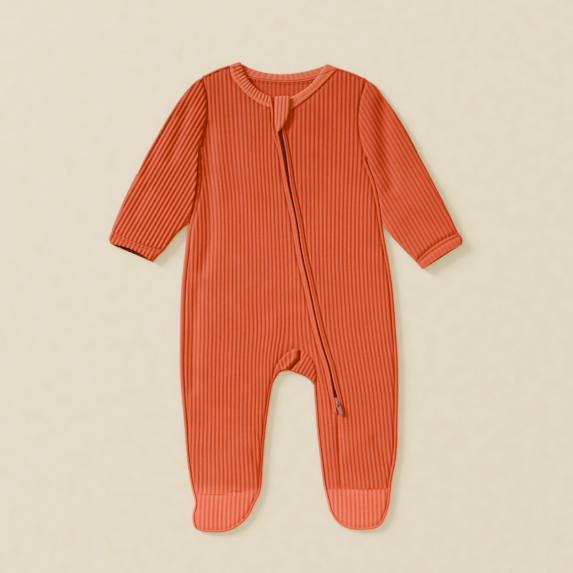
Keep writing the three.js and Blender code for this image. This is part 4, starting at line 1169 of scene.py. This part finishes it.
# %% [markdown]
# ## The neckband
# One strip of rib runs round the neck, from the zip and back to it. It lies flat on the front, folds over
# at both shoulders, and shows its other side at the back of the neck. It's drawn as a closed strip through
# stations: each has a place on the seam, a place on the free edge, and the way that its face looks.

# %% Neckband
BAND_WALL, BAND_FOLD_RADIUS = 2.0, 1.55
BAND_FACE = [
    (0.02, 0.75), (0.08, 1.0), (0.2, 1.1), (0.3, 1.05), (0.36, 0.8), (0.42, 0.95), (0.55, 1.15),
    (0.7, 1.15), (0.82, 1.05), (0.92, 0.8), (0.99, 0.3), (1.0, -0.2), (0.93, -0.7), (0.8, -1.0),
    (0.5, -1.0), (0.2, -1.0), (0.02, -1.0),
]
BAND_FOLD_TURNS = [75, 50, 25, 0, -25, -50, -75]


def front_stations(seam_run, free_run):
    height = front_inside(seam_run[:, 0], seam_run[:, 1]) + BAND_WALL / 2
    up = np.tile([0.0, 0.0, 1.0], (len(seam_run), 1))
    return np.column_stack([seam_run[:, :2], height, free_run[:, :2], height, up])[::-1]


def fold_stations(start, end, outward):
    rows = []
    for angle in BAND_FOLD_TURNS:
        turn = math.radians(angle)
        share = (1 - math.sin(turn)) / 2
        row = start[:6] * (1 - share) + end[:6] * share
        push = np.array(outward) * BAND_FOLD_RADIUS * math.cos(turn)
        row[[0, 1]] += push
        row[[3, 4]] += push
        face = [outward[0] * math.cos(turn), outward[1] * math.cos(turn), math.sin(turn)]
        rows.append(np.concatenate([row, face]))
    return np.array(rows)


def make_neckband():
    right = front_stations(neck_runs["right_seam"], neck_runs["right_free"])
    left = front_stations(neck_runs["left_seam"], neck_runs["left_free"])
    seam_run, free_run = neck_runs["back_seam"], neck_runs["back_free"]
    height = np.full(len(seam_run), BAND_WALL / 2)
    down = np.tile([0.0, 0.0, -1.0], (len(seam_run), 1))
    behind = np.column_stack([seam_run[:, :2], height, free_run[:, :2], height, down])
    parts = [
        right, fold_stations(right[-1], behind[0], (-0.29, 0.96)), behind,
        fold_stations(left[0], behind[-1], (0.31, 0.95))[::-1], left,
    ]
    rib_depth = np.concatenate([
        np.full(len(part), depth) for part, depth in zip(parts, (0.6, 0.35, 0.5, 0.35, 0.18))
    ])
    stations = np.vstack(parts)
    face = np.array(BAND_FACE)

    def lay(a, b):
        spot, index = strip_stops(a, b, len(face), len(stations))
        row = stations[index]
        t, h = face[spot, 0], face[spot, 1] * BAND_WALL / 2
        ribs = rib_up(index + 1.5 * np.sin(index / 13), RIB_COLUMNS)
        strip = np.where(t < 0.4, 0.35, 1.0)
        behind_face = np.where(h < 0, 0.6, 1.0)
        depth = rib_depth[index] * strip * behind_face
        h = h + np.sign(h) * depth * (ribs - 1)
        place = row[:, 0:3] * (1 - t)[:, None] + row[:, 3:6] * t[:, None] + row[:, 6:9] * h[:, None]
        # The ditch along the band takes extra groove shade: painted shade.
        groove = np.clip((1 - ribs) * depth / 0.5 + np.where(np.abs(t - 0.36) < 0.03, 0.5, 0), 0, 1)
        return place[:, 0], place[:, 1], place[:, 2], t * 13, index * RIB_PITCH / RIB_COLUMNS, groove

    band, cloth = closed_strip("neckband_cloth", len(face), len(stations) - 1, lay)
    press_on_floor(band)
    weave_into(band, cloth)
    return band


neckband = dress(make_neckband(), trim, "rib_trim", "neckband")

# %% [markdown]
# ## The cover over the zip top
# A leaf-shaped tab keeps the slider away from the chin. Its ribs run along it. A prism with the leaf's
# outline cuts it from a ribbed sheet, and its rim is rounded down.

# %% Cover
COVER = [(-13.4, 239.4), (4.6, 240.2), (5.4, 229.2), (0.4, 210), (-9.6, 197.2), (-12.6, 207.2)]
COVER_HEIGHT, COVER_WALL, COVER_PITCH, COVER_RIB = 9.1, 1.4, 4.4, 0.5
COVER_LEFT, COVER_WIDTH, COVER_END, COVER_LENGTH = -20, 31, 192, 52
COVER_COLUMNS, COVER_ROWS = 62, 52


def make_cover():
    corners = np.array(COVER, float)
    outline = np.vstack([corners[:1], smooth(COVER[1:], 60)])
    rim = np.vstack([outline, outline[:1]])

    def lay(a, b):
        x = COVER_LEFT + a * COVER_WIDTH
        y = COVER_END + b * COVER_LENGTH
        lean = (240 - y) * 0.06
        up = rib_up(x - 1.3 + lean, COVER_PITCH)
        rounded = 0.75 * near([rim], x, y, 1.1)
        z = COVER_HEIGHT + COVER_RIB * (up - 1) - 0.2 * ((x + 5) / 9.5) ** 2 - rounded
        return x, y, z, x + lean, y, 0.6 * (1 - up)

    cover, cloth = cloth_grid("zip_cover_cloth", COVER_COLUMNS, COVER_ROWS, lay, thickness=COVER_WALL)
    cut_by(cover, keep=[outline])
    weave_into(cover, cloth)
    return cover


cover = dress(make_cover(), trim, "rib_trim", "zip_cover")

# %% [markdown]
# ## The zip: tape, coil, slider and pull tab
# A woven tape carries a fine nylon coil. The slider sits at the lower end; it's cast, and then lacquered
# in a dusty pink. Its arch is a bent bar, made by spinning a rounded square through half a turn, and the pull
# tab hangs in it, so that it can turn up and over.

# %% Zip tape
TAPE_HALF, TAPE_TOP, TAPE_WALL, TAPE_START, TAPE_COLUMNS = 10.5, 2.75, 0.8, 15, 14
PIVOT = (62.0, -127.0, 7.95)
SLIDER_TURN = math.radians(20)
FLANGE_LOW, FLANGE_HIGH, SLIDER_LOW, SLIDER_HIGH = 3.8, 4.3, 4.2, 6.4
PULL_WALL = 1.0
CORNER_POINTS = 5


def woven_tape(name, colour):
    material, tree, shader = new_material(name)
    uv = add_node(tree, "ShaderNodeUVMap", {"uv_map": "knit"}).outputs["UV"]
    weave = add_node(
        tree, "ShaderNodeTexBrick", {"offset": 0.5}, Vector=uv, Scale=1 / (1.4 * MM),
        Color1=(1, 1, 1, 1), Color2=(0.8, 0.8, 0.8, 1), Mortar=(0, 0, 0, 1),
    )
    raised = bumped(tree, 0.6, 0.15, weave.outputs["Fac"])
    feed(shader, Base_Color=linear(colour), Normal=raised, Roughness=0.75)
    return material


def moulded(name, colour, roughness, coat=0.0):
    material, tree, shader = new_material(name)
    worn = ranged(tree, noise(tree, 700.0, 2.0), 0.0, 1.0, roughness * 0.85, roughness * 1.15)
    feed(shader, Base_Color=linear(colour), Roughness=worn, Coat_Weight=coat)
    return material


def make_tape():
    line = zip_line[TAPE_START:]
    across = sideways(line)

    def lay(a, b):
        index = np.rint(b * (len(line) - 1)).astype(int)
        e = TAPE_HALF * (2 * a - 1)
        x, y = off_run(line, across, index, e)
        return x, y, np.full(len(a), TAPE_TOP), e, y, np.zeros(len(a))

    tape, cloth = cloth_grid("zip_tape_cloth", TAPE_COLUMNS, len(line) - 1, lay, thickness=-TAPE_WALL)
    turn_faces_outwards(tape)
    weave_into(tape, cloth)
    return tape


tape = dress(make_tape(), woven_tape("woven_polyester_tape_wine", "#8c221a"), "zip_tape", "zip")


# %% Many small things from one pattern: stitches and coil teeth
def along_run(run, pitch):
    """Places and directions at even steps along a run."""
    walked = np.concatenate([[0], np.cumsum(np.linalg.norm(np.diff(run, axis=0), axis=1))])
    steps = np.arange(pitch / 2, walked[-1], pitch)
    places, ahead, behind = (
        np.column_stack([np.interp(steps + shift, walked, run[:, k]) for k in range(run.shape[1])])
        for shift in (0, 0.3, -0.3)
    )
    direction = ahead - behind
    return places, direction / np.linalg.norm(direction, axis=1, keepdims=True)


def joined_beads(name, places, directions, length, radius, flat=0.7):
    """One mesh of long beads, each at a place and turned to its direction in plan."""
    bm = bmesh.new()
    bmesh.ops.create_icosphere(bm, subdivisions=1, radius=1)
    pattern = np.array([vert.co[:] for vert in bm.verts]) * [length / 2, radius, radius * flat]
    faces = np.array([[vert.index for vert in face.verts] for face in bm.faces])
    bm.free()
    side = np.column_stack([-directions[:, 1], directions[:, 0], np.zeros(len(places))])
    side /= np.linalg.norm(side, axis=1, keepdims=True)
    up = np.cross(directions, side)
    turned = (
        pattern[None, :, 0:1] * directions[:, None, :] + pattern[None, :, 1:2] * side[:, None, :]
        + pattern[None, :, 2:3] * up[:, None, :]
    )
    points = (places[:, None, :] + turned).reshape(-1, 3) * MM
    starts = np.arange(len(places))[:, None, None] * len(pattern)
    mesh = bpy.data.meshes.new(name)
    mesh.from_pydata(points.tolist(), [], (starts + faces[None]).reshape(-1, 3).tolist())
    mesh.shade_smooth()
    made = bpy.data.objects.new(name, mesh)
    scene_collection.objects.link(made)
    print(name, len(places), "beads")
    return made


COIL_PITCH, COIL_HEIGHT, TOOTH_SHIFT = 1.3, 3.15, 0.45
coil_line = np.column_stack([zip_line[TAPE_START:, :2], np.full(len(zip_line) - TAPE_START, COIL_HEIGHT)])
coil_places, coil_run = along_run(coil_line, COIL_PITCH)
coil_side = np.column_stack([-coil_run[:, 1], coil_run[:, 0], np.zeros(len(coil_run))])
shift = np.where(np.arange(len(coil_places)) % 2 == 0, TOOTH_SHIFT, -TOOTH_SHIFT)
coil = joined_beads("zip_coil", coil_places + coil_side * shift[:, None], coil_side, 2.6, 0.55, 1.0)
dress(coil, moulded("nylon_coil_wine", "#3f0e0e", 0.5), "zip_tape")


# %% Slider and pull tab
def bevelled(piece, width, segments=2):
    bevel = piece.modifiers.new("rounding", "BEVEL")
    bevel.width = width * MM
    bevel.segments = segments
    bevel.limit_method = "ANGLE"
    bevel.angle_limit = math.radians(35)
    settle(piece)
    piece.data.shade_smooth()
    piece.data.set_sharp_from_angle(angle=math.radians(40))
    return piece


def place_on_zip(*parts):
    """Turns parts drawn along Y at the pivot to lie along the zip."""
    cosine, sine = math.cos(SLIDER_TURN), math.sin(SLIDER_TURN)
    for part in parts:
        for vert in part.data.vertices:
            x, y = vert.co.x, vert.co.y
            vert.co.x = x * cosine - y * sine + PIVOT[0] * MM
            vert.co.y = x * sine + y * cosine + PIVOT[1] * MM


def rounded_outline(corners, radius):
    """A plan outline with its corners rounded."""
    points = []
    count = len(corners)
    for k in range(count):
        before, here, after = (np.array(corners[(k + d) % count], float) for d in (-1, 0, 1))
        start = here + (before - here) / np.linalg.norm(before - here) * radius
        end = here + (after - here) / np.linalg.norm(after - here) * radius
        for t in np.linspace(0, 1, CORNER_POINTS):
            points.append(start * (1 - t) ** 2 + 2 * here * t * (1 - t) + end * t**2)
    return points


def make_slider():
    lower = [(-2.6, -3.6), (2.6, -3.6), (3.3, 5.2), (1.5, 7.4), (-1.5, 7.4), (-3.3, 5.2)]
    upper = [(-2.1, -3.4), (2.1, -3.4), (2.3, 4.6), (0.9, 7.0), (-0.9, 7.0), (-2.3, 4.6)]
    flange = plan_prism(rounded_outline(lower, 0.9), FLANGE_LOW, FLANGE_HIGH)
    top = plan_prism(rounded_outline(upper, 0.7), SLIDER_LOW, SLIDER_HIGH)
    bevelled(top, 0.45, 3)
    bm = bmesh.new()
    corners = [(-0.6, -2.25), (-0.6, -3.25), (0.6, -3.25), (0.6, -2.25)]
    middle = (0, 0, SLIDER_HIGH * MM)
    bar = bm.faces.new([bm.verts.new((x * MM, y * MM, SLIDER_HIGH * MM)) for x, y in corners])
    bmesh.ops.spin(
        bm, geom=[bar], cent=middle, axis=(1, 0, 0), dvec=(0, 0, 0), angle=-math.pi, steps=16,
    )
    bmesh.ops.remove_doubles(bm, verts=bm.verts, dist=1e-7)
    bmesh.ops.recalc_face_normals(bm, faces=bm.faces)
    arch = bevelled(object_from(bm, "arch"), 0.25)
    place_on_zip(flange, top, arch)
    join_cloth(flange, [top, arch])
    flange.name = "slider_body"
    flange.data.shade_smooth()
    flange.data.set_sharp_from_angle(angle=math.radians(35))
    return flange


def make_pull():
    corners = [(-2.1, 0.5), (-2.5, -3), (-2.5, -13.9), (2.5, -13.9), (2.5, -3), (2.1, 0.5)]
    half = PULL_WALL / 2
    tab = plan_prism(rounded_outline(corners, 0.5), PIVOT[2] - half, PIVOT[2] + half)
    hole = [(-1.05, -0.5), (-1.05, -4.3), (1.05, -4.3), (1.05, -0.5)]
    cut_by(tab, drop=[rounded_outline(hole, 0.35)])
    bevelled(tab, 0.22)
    place_on_zip(tab)
    tab.name = "pull_tab"
    return tab


lacquer = moulded("zinc_lacquered_dusty_pink", "#70302c", 0.42, 0.2)
dress(make_slider(), lacquer, "zip_plastic", "zip_slider")
dress(make_pull(), lacquer, "zip_plastic", "zip_pull", body="pull")


# %% [markdown]
# ## Stitches
# Rows of thread show on the band, at the back of the neck, beside the zip, on its end bar and on the cuffs.
# Each stitch is one long bead that sinks a little into the cloth, and a row is one mesh.

# %% Rows of stitches
def thread(name, colour):
    material, tree, shader = new_material(name)
    raised = bumped(tree, 0.4, 0.05, noise(tree, 1500.0, 1.0))
    feed(shader, Base_Color=linear(colour), Normal=raised, Roughness=0.75, Specular_IOR_Level=0.2)
    return material


coral_thread = thread("polyester_thread_coral", "#a83016")
red_thread = thread("polyester_thread_dark_red", "#6f0f06")


def surface_height(piece, places):
    """The height of a piece's top under each place, found with rays from above."""
    tree = BVHTree.FromObject(piece, bpy.context.evaluated_depsgraph_get())
    heights = []
    for x, y in places[:, :2]:
        hit = tree.ray_cast(Vector((x * MM, y * MM, 0.05)), Vector((0, 0, -1)))
        heights.append(hit[0].z / MM if hit[0] is not None else np.nan)
    return np.array(heights)


# Kinds of stitch: pitch, length and radius
BAND_STITCH, ZIP_STITCH, CUFF_STITCH = (2.8, 2.1, 0.3), (2.8, 2.1, 0.26), (2.6, 2.0, 0.32)
NECK_STITCH, BAR_STITCH = (1.7, 2.6, 0.55), (1.5, 1.3, 0.5)
STITCH_SINK = 0.05
STITCHED_FROM, STITCH_OFFSET = 18, 5.9
END_BAR = [(55.8, -137.6), (70.8, -137.6)]


def stitch_row(name, run, piece, material, kind):
    pitch, length, radius = kind
    places, directions = along_run(np.column_stack([run[:, :2], np.zeros(len(run))]), pitch)
    heights = surface_height(piece, places)
    seen = ~np.isnan(heights)
    places = np.column_stack([places[seen, :2], heights[seen] - STITCH_SINK])
    slot = "zip_tape" if material is red_thread else "rib_trim"
    return dress(joined_beads(name, places, directions[seen], length, radius), material, slot)


def across_band(part, t):
    return neck_runs[part + "_seam"] * (1 - t) + neck_runs[part + "_free"] * t


for name, share in (("outer", 0.1), ("inner", 0.3)):
    stitch_row("band_stitches_" + name, across_band("left", share), neckband, coral_thread, BAND_STITCH)
for name, share, piece in (("upper", 0.2, neckband), ("lower", -0.2, back)):
    stitch_row("back_neck_stitches_" + name, across_band("back", share), piece, red_thread, NECK_STITCH)
for name, front, side in (("right", front_right, -1), ("left", front_left, 1)):
    line = beside(zip_line[STITCHED_FROM:], side * STITCH_OFFSET)
    stitch_row("zip_stitches_" + name, line, front, red_thread, ZIP_STITCH)
for name, cuff, rows in (("right", cuff_right, CUFF_RIGHT), ("left", cuff_left, CUFF_LEFT)):
    table = np.array(rows, float)
    for row_name, share in zip(("upper", "lower"), STITCH_SHARES):
        row = spline_at(table, np.array([share]))[0]
        line = section_places(row, np.linspace(0.03, 0.97, 60))
        stitch_row("cuff_" + name + "_stitches_" + row_name, line, cuff, coral_thread, CUFF_STITCH)
for name, front in (("right", front_right), ("left", front_left)):
    stitch_row("zip_end_bar_" + name, np.array(END_BAR), front, red_thread, BAR_STITCH)

# %% [markdown]


# %% [markdown]
# ## Floor, light and camera
# A pale floor, one large soft light from the upper left and a bright even sky give the low, gentle shadows
# of a daylight flat lay. The camera looks straight down.

# %% Floor
FLOOR_HALF, FLOOR_DROP = 2.0, 0.2


def make_floor():
    bm = bmesh.new()
    bmesh.ops.create_grid(bm, x_segments=1, y_segments=1, size=FLOOR_HALF)
    bmesh.ops.translate(bm, verts=bm.verts, vec=(0, 0, -FLOOR_DROP * MM))
    floor = object_from(bm, "floor")
    material, tree, shader = new_material("pale_plaster_board")
    tone = add_node(
        tree, "ShaderNodeMix", {"data_type": "RGBA"},
        Factor=noise(tree, 60.0, 4.0), i6=linear("#e8cd80"), i7=linear("#fff0b0"),
    )
    feed(shader, Base_Color=tone.outputs[2], Roughness=0.9)
    floor.data.materials.append(material)


make_floor()


# %% Light, whose place and size are in metres
WINDOW_PLACE, WINDOW_SIZE, WINDOW_POWER = Vector((-4.8, 2.9, 1.95)), 1.7, 1850
window = bpy.data.lights.new("window", "AREA")
window.shape = "SQUARE"
window.size = WINDOW_SIZE
window.energy = WINDOW_POWER
window.color = (1.0, 0.95, 0.84)
lamp = bpy.data.objects.new("window", window)
lamp.location = WINDOW_PLACE
lamp.rotation_euler = (-WINDOW_PLACE).to_track_quat("-Z", "Y").to_euler()
scene_collection.objects.link(lamp)
world = bpy.data.worlds.new("soft_room")
world.use_nodes = True
feed(world.node_tree.nodes["Background"], Color=(1.0, 0.96, 0.88, 1.0), Strength=1.42)
bpy.context.scene.world = world
print("light", WINDOW_POWER, "watts")

# %% Camera
FRAME_WIDTH, CAMERA_HEIGHT = 687.6, 1350.0
AIM = (1.2, 12.6)
lens = bpy.data.cameras.new("camera")
lens.lens = lens.sensor_width * CAMERA_HEIGHT / FRAME_WIDTH
camera = bpy.data.objects.new("camera", lens)
camera.location = (AIM[0] * MM, AIM[1] * MM, CAMERA_HEIGHT * MM)
scene_collection.objects.link(camera)
bpy.context.scene.camera = camera
print("lens", round(lens.lens, 1), "mm")
